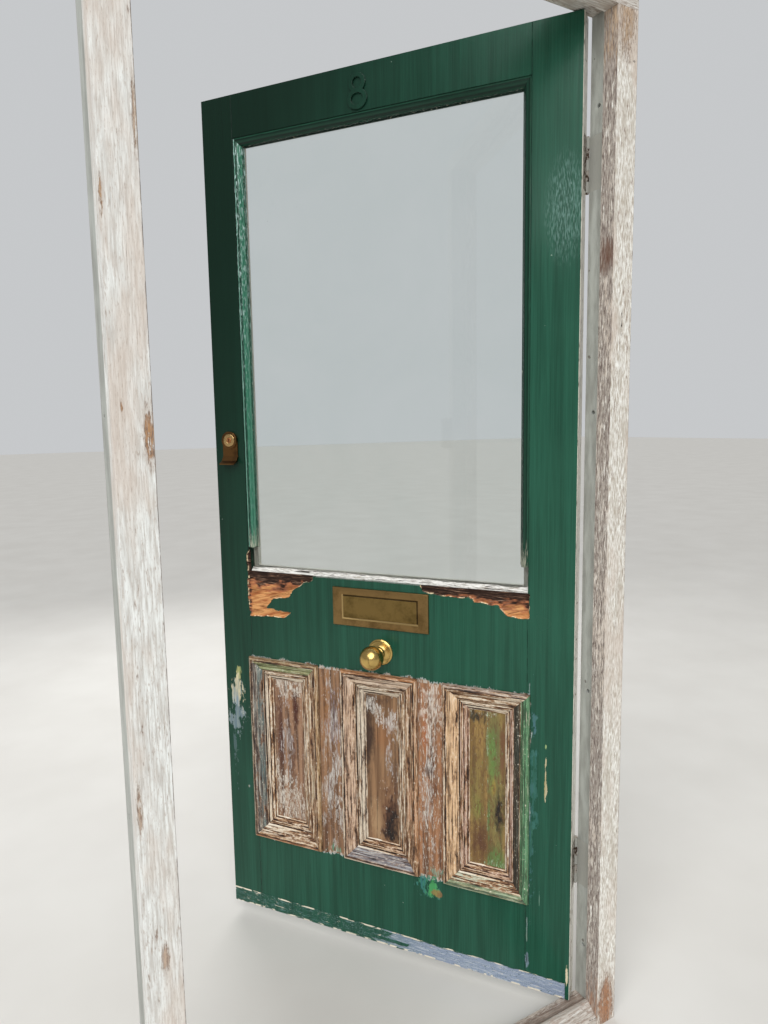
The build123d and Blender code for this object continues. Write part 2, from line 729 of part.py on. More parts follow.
def flap_screw(base_x, direction, height, grow=0.0):
    """Countersunk screw through a flap, pointing along X, or with grow its hole."""
    y = LEAF_BACK - FLAP_WIDTH / 2
    head = Cone(SCREW_RADIUS + grow, SCREW_HEAD_RADIUS + grow, FLAP_THICKNESS)
    head = Pos(base_x + direction * FLAP_THICKNESS / 2, y, height) * Rot(0, -90 * direction, 0) * head
    tip = base_x + direction * (SCREW_LENGTH + grow)
    shank = rod_x(y, height, SCREW_RADIUS + grow, min(base_x, tip), max(base_x, tip))
    return head + shank


def hinge_flap(base, first, x0, x1, screw_x, direction):
    """Plate let into the wood with every second knuckle and countersunk holes."""
    y0 = LEAF_BACK - FLAP_WIDTH
    flap = block(x0, x1, y0, LEAF_BACK, base, base + HINGE_HEIGHT)
    for low, high in knuckle_spans(base, first):
        flap += block(x0, x1, LEAF_BACK - 1, PIN_Y, low, high)
        flap += rod_z(PIN_X, PIN_Y, KNUCKLE_RADIUS, low, high)
    flap -= rod_z(PIN_X, PIN_Y, PIN_RADIUS + PIN_FIT, base - 1, base + HINGE_HEIGHT + 1)
    for height in screw_heights(base):
        flap -= flap_screw(screw_x, direction, height, SCREW_FIT)
    return flap


def leaf_flap(base):
    """Hinge flap let into the leaf's edge."""
    return hinge_flap(base, 1, LEAF_EDGE - FLAP_THICKNESS, LEAF_EDGE, LEAF_EDGE, -1)


def post_flap(base):
    """Hinge flap let into the post's rebate."""
    return hinge_flap(base, 0, REBATE_X, REBATE_X + FLAP_THICKNESS, REBATE_X, 1)


def hinge_pin(base):
    """Pin through all knuckles with a button at each end."""
    pin = rod_z(PIN_X, PIN_Y, PIN_RADIUS, base, base + HINGE_HEIGHT)
    pin += rod_z(PIN_X, PIN_Y, KNUCKLE_RADIUS - 0.5, base - PIN_TIP, base)
    pin += rod_z(PIN_X, PIN_Y, KNUCKLE_RADIUS - 0.5, base + HINGE_HEIGHT, base + HINGE_HEIGHT + PIN_TIP)
    return pin


def flap_housing(base, x0, x1):
    """Shallow recess in the wood that takes a flap."""
    return block(x0, x1, LEAF_BACK - FLAP_WIDTH, LEAF_BACK + 1, base, base + HINGE_HEIGHT)


def hinge_bases():
    """Foot of the lower and the upper hinge."""
    return [up(LOWER_HINGE_HEIGHT), up(LEAF_HEIGHT - UPPER_HINGE_DEPTH) - HINGE_HEIGHT]


# Letter plate

def plate_bolt_places():
    """Places across the leaf of the two bolts that hold the letter plate."""
    reach = (PLATE_WIDTH - PLATE_END_WIDTH) / 2
    return [-reach, reach]


def letter_slot():
    """Slot through the lock rail behind the flap, with room for the ears."""
    half = FLAP_LENGTH / 2 + FLAP_ROOM + EAR_THICKNESS + FLAP_ROOM
    low = up(PLATE_UP) - FLAP_HEIGHT / 2 - FLAP_ROOM
    high = up(PLATE_UP) + FLAP_HEIGHT / 2 + FLAP_ROOM + BARREL_RADIUS
    return block(-half, half, LEAF_FRONT - 1, LEAF_BACK + 1, low, high)


def flap_pivot():
    """Depth and height of the letter flap's pin."""
    y = LEAF_FRONT + BARREL_RADIUS + 1.2
    z = up(PLATE_UP) + FLAP_HEIGHT / 2 - BARREL_RADIUS
    return y, z


def letter_plate():
    """Bevelled plate with an opening for the flap, two ears behind it and two bolt bosses."""
    half_w = PLATE_WIDTH / 2
    half_h = PLATE_HEIGHT / 2
    z = up(PLATE_UP)
    front = LEAF_FRONT - PLATE_THICKNESS
    plate = block(-half_w, half_w, front, LEAF_FRONT, z - half_h, z + half_h)
    plate = chamfer(plate.faces().sort_by(Axis.Y)[0].edges(), PLATE_THICKNESS * 0.4)
    open_w = FLAP_LENGTH / 2 + FLAP_ROOM
    open_h = FLAP_HEIGHT / 2 + FLAP_ROOM
    plate -= block(-open_w, open_w, front - 1, LEAF_FRONT + 1, z - open_h, z + open_h)
    pivot_y, pivot_z = flap_pivot()
    for side in (-1, 1):
        x0, x1 = sorted((side * open_w, side * (open_w + EAR_THICKNESS)))
        ear = block(x0, x1, LEAF_FRONT, pivot_y, pivot_z - BARREL_RADIUS, pivot_z + BARREL_RADIUS)
        plate += ear + rod_x(pivot_y, pivot_z, BARREL_RADIUS, x0, x1)
    plate -= rod_x(pivot_y, pivot_z, FLAP_PIN_RADIUS + PIN_FIT, -half_w, half_w)
    bolt_tip = LEAF_FRONT - PLATE_THICKNESS * 0.6
    for x in plate_bolt_places():
        plate -= rod_y(x, z, PLATE_BOLT_RADIUS + SCREW_FIT, bolt_tip, LEAF_FRONT + 1)
    return plate


def letter_flap():
    """Flap with a rolled barrel along its upper edge, cut away for the spring."""
    z = up(PLATE_UP)
    pivot_y, pivot_z = flap_pivot()
    front = LEAF_FRONT - PLATE_THICKNESS + 1
    half = FLAP_LENGTH / 2
    flap = block(-half, half, front, front + FLAP_SHEET, z - FLAP_HEIGHT / 2, z + FLAP_HEIGHT / 2)
    web = block(-half, half, front, pivot_y, pivot_z, pivot_z + BARREL_RADIUS)
    flap += web + rod_x(pivot_y, pivot_z, BARREL_RADIUS, -half, half)
    gap = SPRING_SPAN / 2
    flap -= block(-gap, gap, front + FLAP_SHEET, pivot_y + BARREL_RADIUS + 1, pivot_z - 9, pivot_z + 9)
    return flap - rod_x(pivot_y, pivot_z, FLAP_PIN_RADIUS + PIN_FIT, -half - 1, half + 1)


def letter_flap_pin():
    """Pin through the ears and the flap's barrel."""
    pivot_y, pivot_z = flap_pivot()
    half = FLAP_LENGTH / 2 + FLAP_ROOM + EAR_THICKNESS
    return rod_x(pivot_y, pivot_z, FLAP_PIN_RADIUS, -half, half)


def coil(wire, radius, turns, pitch):
    """Close-wound coil along Z from Z = 0."""
    path = Helix(pitch, pitch * turns, radius)
    start = path @ 0
    section = Plane(origin=start, z_dir=path % 0) * Circle(wire / 2)
    return sweep(section, path=path, is_frenet=True)


def letter_flap_spring():
    """Coil on the pin that closes the flap."""
    pivot_y, pivot_z = flap_pivot()
    radius = FLAP_PIN_RADIUS + SPRING_WIRE / 2 + PIN_FIT
    pitch = SPRING_WIRE * 1.5
    turns = (SPRING_SPAN - 4) / pitch
    spring = coil(SPRING_WIRE, radius, turns, pitch)
    return Pos(-turns * pitch / 2, pivot_y, pivot_z) * Rot(0, 90, 0) * spring


def letter_plate_bolts():
    """Two bolts from the inside into the plate."""
    z = up(PLATE_UP)
    bolts = []
    for x in plate_bolt_places():
        shank = rod_y(x, z, PLATE_BOLT_RADIUS, LEAF_FRONT - PLATE_THICKNESS * 0.6, LEAF_BACK)
        head = rod_y(x, z, PLATE_BOLT_RADIUS * 2, LEAF_BACK, LEAF_BACK + PLATE_BOLT_RADIUS)
        bolts.append(shank + head)
    return bolts


# Centre knob

def turned_y(points, z):
    """Solid turned about an axis along Y from radius and depth pairs."""
    outline = Polyline(*points, close=True)
    return Pos(0, 0, z) * revolve(make_face(outline), axis=Axis.Y)


def knob_rose():
    """Stepped round rose behind the knob."""
    face = LEAF_FRONT
    hole = KNOB_BOLT_RADIUS + JOINT_FIT
    r = ROSE_RADIUS
    h = ROSE_HEIGHT
    points = [
        (hole, face), (r, face), (r, face - h * 0.25), (r - 3, face - h * 0.45), (r - 6, face - h * 0.5),
        (r - 7, face - h * 0.7), (r - 14, face - h * 0.8), (r - 16, face - h), (hole, face - h),
    ]
    return turned_y(points, up(KNOB_UP))


def knob():
    """Ball knob on a waisted neck, bored for its bolt."""
    base = LEAF_FRONT - ROSE_HEIGHT
    centre = LEAF_FRONT - KNOB_CENTRE_OUT
    neck = [
        (0, base), (13, base), (13, base - 2), (9, base - 5), (8.5, centre + KNOB_RADIUS - 6),
        (12, centre + KNOB_RADIUS - 4), (12, centre), (0, centre),
    ]
    ball = Pos(0, centre, up(KNOB_UP)) * Sphere(KNOB_RADIUS)
    bore = rod_y(0, up(KNOB_UP), KNOB_BOLT_RADIUS + JOINT_FIT, centre, base + 1)
    return turned_y(neck, up(KNOB_UP)) + ball - bore


def knob_bolt():
    """Threaded rod that draws the knob against the leaf."""
    inner = LEAF_BACK + KNOB_WASHER_THICKNESS + KNOB_NUT_HEIGHT + 3
    return rod_y(0, up(KNOB_UP), KNOB_BOLT_RADIUS, LEAF_FRONT - KNOB_CENTRE_OUT, inner)


def knob_washer():
    """Washer on the inner face of the lock rail."""
    ring = rod_y(0, up(KNOB_UP), KNOB_WASHER_RADIUS, LEAF_BACK, LEAF_BACK + KNOB_WASHER_THICKNESS)
    return ring - rod_y(0, up(KNOB_UP), KNOB_BOLT_RADIUS + JOINT_FIT, LEAF_BACK - 1, LEAF_BACK + 9)


def knob_nut():
    """Hexagon nut on the bolt's inner end."""
    low = LEAF_BACK + KNOB_WASHER_THICKNESS
    hexagon = extrude(RegularPolygon(KNOB_NUT_RADIUS, 6), amount=KNOB_NUT_HEIGHT)
    nut = Pos(0, low, up(KNOB_UP)) * Rot(-90, 0, 0) * hexagon
    return nut - rod_y(0, up(KNOB_UP), KNOB_BOLT_RADIUS + JOINT_FIT, low - 1, low + KNOB_NUT_HEIGHT + 1)


# House numeral

def numeral_ring(width, height, centre_z):
    """One loop of the numeral as an elliptical band."""
    outer = Ellipse(width / 2, height / 2)
    inner = Ellipse(width / 2 - NUMERAL_STROKE, height / 2 - NUMERAL_STROKE)
    band = extrude(outer - inner, amount=NUMERAL_THICKNESS)
    return Pos(LEAF_EDGE - NUMERAL_INSET, LEAF_FRONT, centre_z) * Rot(90, 0, 0) * band


def numeral_spikes(grow=0.0, deeper=0.0):
    """Two spikes behind the numeral, or with grow their holes."""
    x = LEAF_EDGE - NUMERAL_INSET
    middle = up(NUMERAL_UP)
    reach = NUMERAL_HEIGHT / 2 - NUMERAL_STROKE / 2
    radius = NUMERAL_SPIKE_RADIUS + grow
    depth = LEAF_FRONT + NUMERAL_SPIKE + deeper
    return [rod_y(x, middle + side * reach, radius, LEAF_FRONT - 1, depth) for side in (-1, 1)]


def house_numeral():
    """Cast figure of two loops, the lower one larger, with two spikes."""
    lower_height = NUMERAL_HEIGHT * 0.57
    upper_height = NUMERAL_HEIGHT - lower_height + NUMERAL_STROKE
    foot = up(NUMERAL_UP) - NUMERAL_HEIGHT / 2
    figure = numeral_ring(NUMERAL_WIDTH, lower_height, foot + lower_height / 2)
    figure += numeral_ring(NUMERAL_WIDTH * 0.84, upper_height, foot + NUMERAL_HEIGHT - upper_height / 2)
    for spike in numeral_spikes():
        figure += spike
    return figure


# Night latch

def cylinder_pull():
    """Finger pull: a plate round the cylinder whose foot turns outward into a lip."""
    face = LEAF_FRONT
    foot = LATCH_Z - PULL_DROP
    side = Polyline(
        (face, LATCH_Z + PULL_RADIUS),
        (face - PULL_SHEET, LATCH_Z + PULL_RADIUS),
        (face - PULL_SHEET, foot + PULL_LIP),
        (face - PULL_SHEET - PULL_LIP * 0.35, foot + PULL_LIP * 0.45),
        (face - PULL_LIP, foot + PULL_SHEET),
        (face - PULL_LIP, foot),
        (face - PULL_LIP * 0.35, foot + PULL_LIP * 0.3),
        (face, foot + PULL_LIP * 0.85),
        close=True,
    )
    sheet = extrude(Plane.YZ * make_face(side), amount=PULL_RADIUS, both=True)
    outline = rod_y(0, LATCH_Z, PULL_RADIUS, face - PULL_LIP - 1, face)
    outline += block(-PULL_RADIUS, PULL_RADIUS, face - PULL_LIP - 1, face, foot - 1, LATCH_Z)
    ring = rod_y(0, LATCH_Z, PULL_RADIUS, face - RING_HEIGHT, face - PULL_SHEET)
    plate = (sheet & outline) + ring
    plate -= rod_y(0, LATCH_Z, CYLINDER_RADIUS + CYLINDER_FIT, face - RING_HEIGHT - 1, face + 1)
    return Pos(LATCH_X, 0, 0) * plate


def rim_cylinder():
    """Cylinder body through the stile, held by the pull's ring and the latch case."""
    body = rod_y(LATCH_X, LATCH_Z, CYLINDER_RADIUS, LEAF_FRONT - RING_HEIGHT, LEAF_BACK - 2)
    return body - rod_y(LATCH_X, LATCH_Z, PLUG_RADIUS + PLUG_FIT, LEAF_FRONT - RING_HEIGHT - 1, LEAF_BACK)


def cylinder_plug():
    """Plug with a keyway and the flat bar that works the bolt."""
    front = LEAF_FRONT - RING_HEIGHT
    plug = rod_y(LATCH_X, LATCH_Z, PLUG_RADIUS, front - 0.5, LEAF_BACK - 2)
    keyway = block(LATCH_X - 1, LATCH_X + 1, front - 2, front + 22, LATCH_Z - 4.5, LATCH_Z + 3.5)
    tail = block(
        LATCH_X - TAIL_THICKNESS / 2, LATCH_X + TAIL_THICKNESS / 2,
        LEAF_BACK - 3, LEAF_BACK + CASE_WALL * 2,
        LATCH_Z - TAIL_WIDTH / 2, LATCH_Z + TAIL_WIDTH / 2,
    )
    return plug - keyway + tail


def latch_case():
    """Case on the inner face of the stile, open towards the wood, with a mouth for the bolt."""
    x0 = -LEAF_EDGE
    x1 = x0 + CASE_WIDTH
    z0 = LATCH_Z - CASE_HEIGHT / 2
    z1 = LATCH_Z + CASE_HEIGHT / 2
    back = CASE_BACK
    case = block(x0, x1, LEAF_BACK, back, z0, z1)
    case = fillet(case.faces().sort_by(Axis.Y)[-1].edges(), 3)
    wall = CASE_WALL
    case -= block(x0 + wall, x1 - wall, LEAF_BACK - 1, back - wall, z0 + wall, z1 - wall)
    fit = BOLT_FIT
    case -= block(
        x0 - 1, x0 + wall + 1,
        BOLT_Y - BOLT_DEPTH / 2 - fit, BOLT_Y + BOLT_DEPTH / 2 + fit,
        LATCH_Z - BOLT_HEIGHT / 2 - fit, LATCH_Z + BOLT_HEIGHT / 2 + fit,
    )
    case -= rod_y(TURN_X, LATCH_Z, SPINDLE_RADIUS + PLUG_FIT, back - wall - 1, back + 1)
    case -= snib_slot()
    for z in case_screw_heights():
        pillar = rod_y(CASE_SCREW_X, z, PILLAR_RADIUS, LEAF_BACK, back - wall)
        case += pillar
        case -= case_screw(z, SCREW_FIT)
    return case


def case_screw_heights():
    """Heights of the two screws that hold the case."""
    reach = CASE_HEIGHT / 2 - CASE_SCREW_INSET
    return [LATCH_Z - reach, LATCH_Z + reach]


def case_screw(z, grow=0.0):
    """Long countersunk screw through a pillar of the case into the stile, or its hole."""
    back = CASE_BACK
    shank = rod_y(CASE_SCREW_X, z, SCREW_RADIUS + grow, LEAF_BACK - SCREW_LENGTH * 0.7 - grow, back)
    head = Cone(SCREW_HEAD_RADIUS + grow, SCREW_RADIUS + grow, FLAP_THICKNESS)
    return shank + Pos(CASE_SCREW_X, back - FLAP_THICKNESS / 2, z) * Rot(90, 0, 0) * head


def snib_slot():
    """Slot in the case that the snib slides along."""
    back = CASE_BACK
    x0 = TURN_X - SNIB_WIDTH / 2 - BOLT_FIT - SNIB_TRAVEL
    x1 = TURN_X + SNIB_WIDTH / 2 + BOLT_FIT
    half = SNIB_HEIGHT / 2 + BOLT_FIT
    return block(x0, x1, back - CASE_WALL - 1, back + 1, SNIB_Z - half, SNIB_Z + half)


def latch_snib():
    """Sliding button that holds the bolt, with a foot inside the case."""
    back = CASE_BACK
    half_w = SNIB_WIDTH / 2
    half_h = SNIB_HEIGHT / 2
    stem = block(
        TURN_X - half_w, TURN_X + half_w, back - CASE_WALL - 1, back + SNIB_RISE,
        SNIB_Z - half_h, SNIB_Z + half_h,
    )
    foot = block(
        TURN_X - half_w - 2, TURN_X + half_w + 2, back - CASE_WALL - 3, back - CASE_WALL - BOLT_FIT,
        SNIB_Z - half_h - 2, SNIB_Z + half_h + 2,
    )
    return stem + foot


def turn_pin_place():
    """Where the turn's driving pin stands while the bolt is out."""
    angle = math.radians(TURN_ARM_ANGLE)
    return TURN_X - TURN_ARM * math.sin(angle), LATCH_Z - TURN_ARM * math.cos(angle)


def latch_bolt():
    """Bevelled bolt with a stem behind it and a fork for the turn's driving pin."""
    x0 = -LEAF_EDGE - BOLT_PROJECTION
    x1 = x0 + BOLT_LENGTH
    y0 = BOLT_Y - BOLT_DEPTH / 2
    y1 = BOLT_Y + BOLT_DEPTH / 2
    section = Polyline((x0 + 12, y0), (x1, y0), (x1, y1), (x0, y1), (x0, y1 - 3), close=True)
    head = Pos(0, 0, LATCH_Z) * extrude(make_face(section), amount=BOLT_HEIGHT / 2, both=True)
    tip = -LEAF_EDGE + CASE_WIDTH - CASE_WALL - BOLT_THROW - 1
    bolt = head + rod_x(BOLT_Y, LATCH_Z, BOLT_STEM_RADIUS, x1 - 1, tip)
    pin_x, pin_z = turn_pin_place()
    half = TURN_PIN_RADIUS + TURN_PIN_ROOM
    fork_y = BOLT_Y - FORK_THICKNESS / 2
    foot = pin_z - 6
    fork = block(x1 - 1, pin_x + half + 3, fork_y, fork_y + FORK_THICKNESS, foot, LATCH_Z - 7)
    slot_top = pin_z + half + 0.5
    fork -= block(pin_x - half, pin_x + half, fork_y - 1, fork_y + FORK_THICKNESS + 1, foot - 1, slot_top)
    return bolt + fork


def latch_bolt_spring():
    """Spring on the bolt's stem, drawn at its shortest."""
    radius = BOLT_STEM_RADIUS + BOLT_SPRING_WIRE / 2 + BOLT_FIT
    pitch = BOLT_SPRING_WIRE * 1.4
    start = -LEAF_EDGE - BOLT_PROJECTION + BOLT_LENGTH + BOLT_SPRING_WIRE / 2 + JOINT_FIT
    room = CASE_WIDTH + BOLT_PROJECTION - BOLT_LENGTH - CASE_WALL - BOLT_THROW - BOLT_SPRING_WIRE - 1
    turns = max(2, int(room / pitch) - 1)
    return Pos(start, BOLT_Y, LATCH_Z) * Rot(0, 90, 0) * coil(BOLT_SPRING_WIRE, radius, turns, pitch)


def latch_turn():
    """Round turn with finger flats, and inside the case an arm whose pin draws the bolt."""
    back = CASE_BACK
    grip = rod_y(TURN_X, LATCH_Z, TURN_RADIUS, back + BOLT_FIT, back + TURN_HEIGHT)
    grip = chamfer(grip.faces().sort_by(Axis.Y)[-1].edges(), 2)
    for side in (-1, 1):
        flat_x = sorted((side * TURN_RADIUS * 0.55, side * (TURN_RADIUS + 1)))
        flat = block(
            flat_x[0], flat_x[1],
            back + TURN_HEIGHT * 0.4, back + TURN_HEIGHT + 1,
            -TURN_RADIUS, TURN_RADIUS,
        )
        grip -= Pos(TURN_X, 0, LATCH_Z) * flat
    arm_low = BOLT_Y + BOLT_DEPTH / 2 + 0.6
    arm_high = back - CASE_WALL - BOLT_FIT
    spindle = rod_y(TURN_X, LATCH_Z, SPINDLE_RADIUS, arm_low, back + 1)
    pin_x, pin_z = turn_pin_place()
    arm = block(-2.5, 2.5, arm_low, arm_high, -TURN_ARM, 0)
    arm = Pos(TURN_X, 0, LATCH_Z) * Rot(0, TURN_ARM_ANGLE, 0) * arm
    pin = rod_y(pin_x, pin_z, TURN_PIN_RADIUS, BOLT_Y - FORK_THICKNESS, arm_high)
    boss = rod_y(pin_x, pin_z, TURN_PIN_RADIUS + 0.5, arm_low, arm_high)
    return grip + spindle + arm + boss + pin


def latch_keep():
    """Box keep on the latch post with a pocket for the bolt."""
    x1 = -REBATE_X - KEEP_SET_BACK
    x0 = x1 - KEEP_WIDTH
    half = BOLT_HEIGHT / 2 + KEEP_ROOM
    y1 = BOLT_Y + BOLT_DEPTH / 2 + KEEP_ROOM + KEEP_WALL
    z0 = LATCH_Z - CASE_HEIGHT / 2
    z1 = LATCH_Z + CASE_HEIGHT / 2
    keep = block(x0, x1, INNER_Y, y1, z0, z1)
    keep = fillet(keep.faces().sort_by(Axis.Y)[-1].edges(), 3)
    depth = BOLT_PROJECTION - LEAF_GAP - KEEP_SET_BACK + KEEP_ROOM
    y0 = INNER_Y + KEEP_WALL / 2
    keep -= block(x1 - depth, x1 + 1, y0, y1 - KEEP_WALL, LATCH_Z - half, LATCH_Z + half)
    for z in case_screw_heights():
        keep -= keep_screw(z, SCREW_FIT)
    return keep


def keep_screw(z, grow=0.0):
    """Countersunk screw through the keep into the post, or its hole."""
    x = -REBATE_X - KEEP_SET_BACK - KEEP_WIDTH / 2
    face = BOLT_Y + BOLT_DEPTH / 2 + KEEP_ROOM + KEEP_WALL
    shank = rod_y(x, z, SCREW_RADIUS + grow, INNER_Y - SCREW_LENGTH * 0.7 - grow, face)
    head = Cone(SCREW_HEAD_RADIUS + grow, SCREW_RADIUS + grow, FLAP_THICKNESS)
    return shank + Pos(x, face - FLAP_THICKNESS / 2, z) * Rot(90, 0, 0) * head


# Pieces of the frame

def build_frame():
    """Writes everything that stays with the wall."""
    post_hinge = rebated_post(1)
    for base in hinge_bases():
        post_hinge -= flap_housing(base, REBATE_X, REBATE_X + FLAP_THICKNESS)
        for height in screw_heights(base):
            post_hinge -= flap_screw(REBATE_X, 1, height, SCREW_FIT)
    save("post_hinge", post_hinge)
    post_latch = rebated_post(-1)
    for z in case_screw_heights():
        post_latch -= keep_screw(z, SCREW_FIT)
    save("post_latch", post_latch)
    save("frame_head", frame_head())
    save("sill", sill())
    for word, base in zip(("lower", "upper"), hinge_bases()):
        save(f"hinge_{word}_post_flap", post_flap(base))
        save(f"hinge_{word}_pin", hinge_pin(base))
    screws = [flap_screw(REBATE_X, 1, height) for base in hinge_bases() for height in screw_heights(base)]
    save("hinge_post_screws", screws)
    save("latch_keep", latch_keep())
    save("latch_keep_screws", [keep_screw(z) for z in case_screw_heights()])


# Pieces of the leaf

def build_joinery():
    """Writes the leaf's wood: stiles, rails, muntins, panels and mouldings."""
    stile_hinge = stile(LEAF_EDGE, HINGE_SIDE_X, rot_pocket(1, ROT_HINGE)) - strip_rebate()
    for base in hinge_bases():
        stile_hinge -= flap_housing(base, LEAF_EDGE - FLAP_THICKNESS, LEAF_EDGE)
        for height in screw_heights(base):
            stile_hinge -= flap_screw(LEAF_EDGE, -1, height, SCREW_FIT)
    save("stile_hinge", stile_hinge, opened=True)
    stile_latch = stile(-LEAF_EDGE, LATCH_SIDE_X, rot_pocket(-1, ROT_LATCH)) - strip_rebate()
    stile_latch -= rod_y(LATCH_X, LATCH_Z, CYLINDER_RADIUS + CYLINDER_FIT, LEAF_FRONT - 1, LEAF_BACK + 1)
    for z in case_screw_heights():
        stile_latch -= case_screw(z, SCREW_FIT)
    save("stile_latch", stile_latch, opened=True)
    save("top_rail", top_rail(), opened=True)
    save("lock_rail", lock_rail(), opened=True)
    save("bottom_rail", bottom_rail(), opened=True)
    save("tenon_wedges", tenon_wedges(), opened=True)
    save("muntin_left", muntin(0), opened=True)
    save("muntin_right", muntin(1), opened=True)
    for index, word in enumerate(PANEL_NAMES):
        save(f"panel_{word}", panel(index), opened=True)
        save(f"panel_{word}_moulding", bolection(index), opened=True)
        save(f"panel_{word}_back_moulding", back_moulding(index), opened=True)
    save("weather_strip", weather_strip(), opened=True)


def build_glazing():
    """Writes the pane and what holds it."""
    save("glass", glass(), opened=True)
    save("glazing_moulding_latch", glazing_moulding(0), opened=True)
    save("glazing_moulding_top", glazing_moulding(1), opened=True)
    save("glazing_moulding_hinge", glazing_moulding(2), opened=True)
    save("glazing_beads", glazing_frame(bead_section(), GLAZING_BEAD, (0, 1, 2, 3)), opened=True)
    save("putty_bed", putty_bed(), opened=True)


def build_fittings():
    """Writes the hinges' leaf sides and all the leaf's metal."""
    for word, base in zip(("lower", "upper"), hinge_bases()):
        save(f"hinge_{word}_leaf_flap", leaf_flap(base), opened=True)
    screws = [flap_screw(LEAF_EDGE, -1, height) for base in hinge_bases() for height in screw_heights(base)]
    save("hinge_leaf_screws", screws, opened=True)
    save("letter_plate", letter_plate(), opened=True)
    save("letter_flap", letter_flap(), opened=True)
    save("letter_flap_pin", letter_flap_pin(), opened=True)
    save("letter_flap_spring", letter_flap_spring(), opened=True)
    save("letter_plate_bolts", letter_plate_bolts(), opened=True)
    save("knob_rose", knob_rose(), opened=True)
    save("knob", knob(), opened=True)
    save("knob_bolt", knob_bolt(), opened=True)
    save("knob_washer", knob_washer(), opened=True)
    save("knob_nut", knob_nut(), opened=True)
    save("house_numeral", house_numeral(), opened=True)


def build_night_latch():
    """Writes the night latch, from the pull outside to the case inside."""
    save("cylinder_pull", cylinder_pull(), opened=True)
    save("rim_cylinder", rim_cylinder(), opened=True)
    save("cylinder_plug", cylinder_plug(), opened=True)
    save("latch_case", latch_case(), opened=True)
    save("latch_bolt", latch_bolt(), opened=True)
    save("latch_bolt_spring", latch_bolt_spring(), opened=True)
    save("latch_turn", latch_turn(), opened=True)
    save("latch_snib", latch_snib(), opened=True)
    save("latch_case_screws", [case_screw(z) for z in case_screw_heights()], opened=True)


build_frame()
build_joinery()
build_glazing()
build_fittings()
build_night_latch()
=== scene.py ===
# %% [markdown]
# # A weathered front door
# The imported door comes in as a fixed frame: its solids have the right sizes. This lesson gives
# them their looks: half-stripped wood, dark green gloss, worn white paint, old brass and a rotted
# lock rail. Nothing here changes a size.

# %% Load the imported door
import json
import math
import bpy
import numpy as np
from mathutils import Matrix, Vector


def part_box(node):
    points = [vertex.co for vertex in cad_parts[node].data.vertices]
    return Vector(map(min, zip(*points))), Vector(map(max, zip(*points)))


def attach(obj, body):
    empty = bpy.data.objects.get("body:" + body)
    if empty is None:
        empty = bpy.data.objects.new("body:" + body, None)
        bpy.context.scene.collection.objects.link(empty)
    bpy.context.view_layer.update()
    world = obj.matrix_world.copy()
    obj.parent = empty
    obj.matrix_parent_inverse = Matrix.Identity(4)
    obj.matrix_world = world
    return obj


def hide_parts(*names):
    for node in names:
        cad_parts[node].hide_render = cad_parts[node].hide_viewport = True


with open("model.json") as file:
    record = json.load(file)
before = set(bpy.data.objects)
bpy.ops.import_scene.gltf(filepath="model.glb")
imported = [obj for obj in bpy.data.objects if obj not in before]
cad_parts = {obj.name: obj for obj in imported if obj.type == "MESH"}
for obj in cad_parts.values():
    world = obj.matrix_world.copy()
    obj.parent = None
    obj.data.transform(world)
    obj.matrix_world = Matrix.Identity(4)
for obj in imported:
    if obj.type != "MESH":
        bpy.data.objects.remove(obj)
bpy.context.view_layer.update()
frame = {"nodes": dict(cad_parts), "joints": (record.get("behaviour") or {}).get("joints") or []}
nodes = frame["nodes"]

# %% [markdown]
# ## Two ways to name a place
# The leaf stands open, so its boards are slanted in the row's frame. Every measure on it is
# easier on the closed leaf: x across, y inward, z up. One turn about the hinge pins takes the
# closed leaf to where it stands, in numpy for shapes and in a Mapping node for patterns.

# %% Turn between the closed leaf and the open one
swing = [joint for joint in frame["joints"] if joint["name"] == "leaf_swing"][0]
PINS = np.array(swing["pos_m"][:2])
OPEN = math.radians(-swing["range_deg"][0])
COS, SIN = math.cos(OPEN), math.sin(OPEN)
LEAF_EDGE = 0.432
LEAF_FRONT = -0.003
LEAF_BACK = 0.037
LEAF_FOOT = 0.034
RAIL_TOP = LEAF_FOOT + 0.884
RAIL_FOOT = LEAF_FOOT + 0.664
PANEL_FOOT = LEAF_FOOT + 0.207


def stand_open(points):
    """Points of the closed leaf, turned: x' = cx + sy, y' = cy - sx, counted from the pins."""
    turned = np.array(points, float)
    x, y = turned[..., 0] - PINS[0], turned[..., 1] - PINS[1]
    turned[..., 0] = PINS[0] + COS * x + SIN * y
    turned[..., 1] = PINS[1] + COS * y - SIN * x
    return turned


def closed_box(name):
    """Lowest and highest corner of a solid on the closed leaf: x = cx' - sy', y = sx' + cy'."""
    vertices = nodes[name].data.vertices
    points = np.empty(3 * len(vertices), np.float32)
    vertices.foreach_get("co", points)
    points = points.astype(float).reshape(-1, 3)
    x, y = points[:, 0] - PINS[0], points[:, 1] - PINS[1]
    points[:, 0] = PINS[0] + COS * x - SIN * y
    points[:, 1] = PINS[1] + SIN * x + COS * y
    return points.min(axis=0), points.max(axis=0)


print("pins at", PINS, "open by", round(math.degrees(OPEN), 1), "degrees")

# %% [markdown]
# ## Camera
# The camera was fitted to the leaf's corners in the photograph, so it stands outside, to the
# left, at eye height, tilted a little down and rolled by a degree. Its focal length came out of
# the same fit, counted in rows of a picture that is 1024 rows high.

# %% Camera
def placed(name, data):
    """New object that carries the data, linked into the scene."""
    thing = bpy.data.objects.new(name, data)
    bpy.context.scene.collection.objects.link(thing)
    return thing


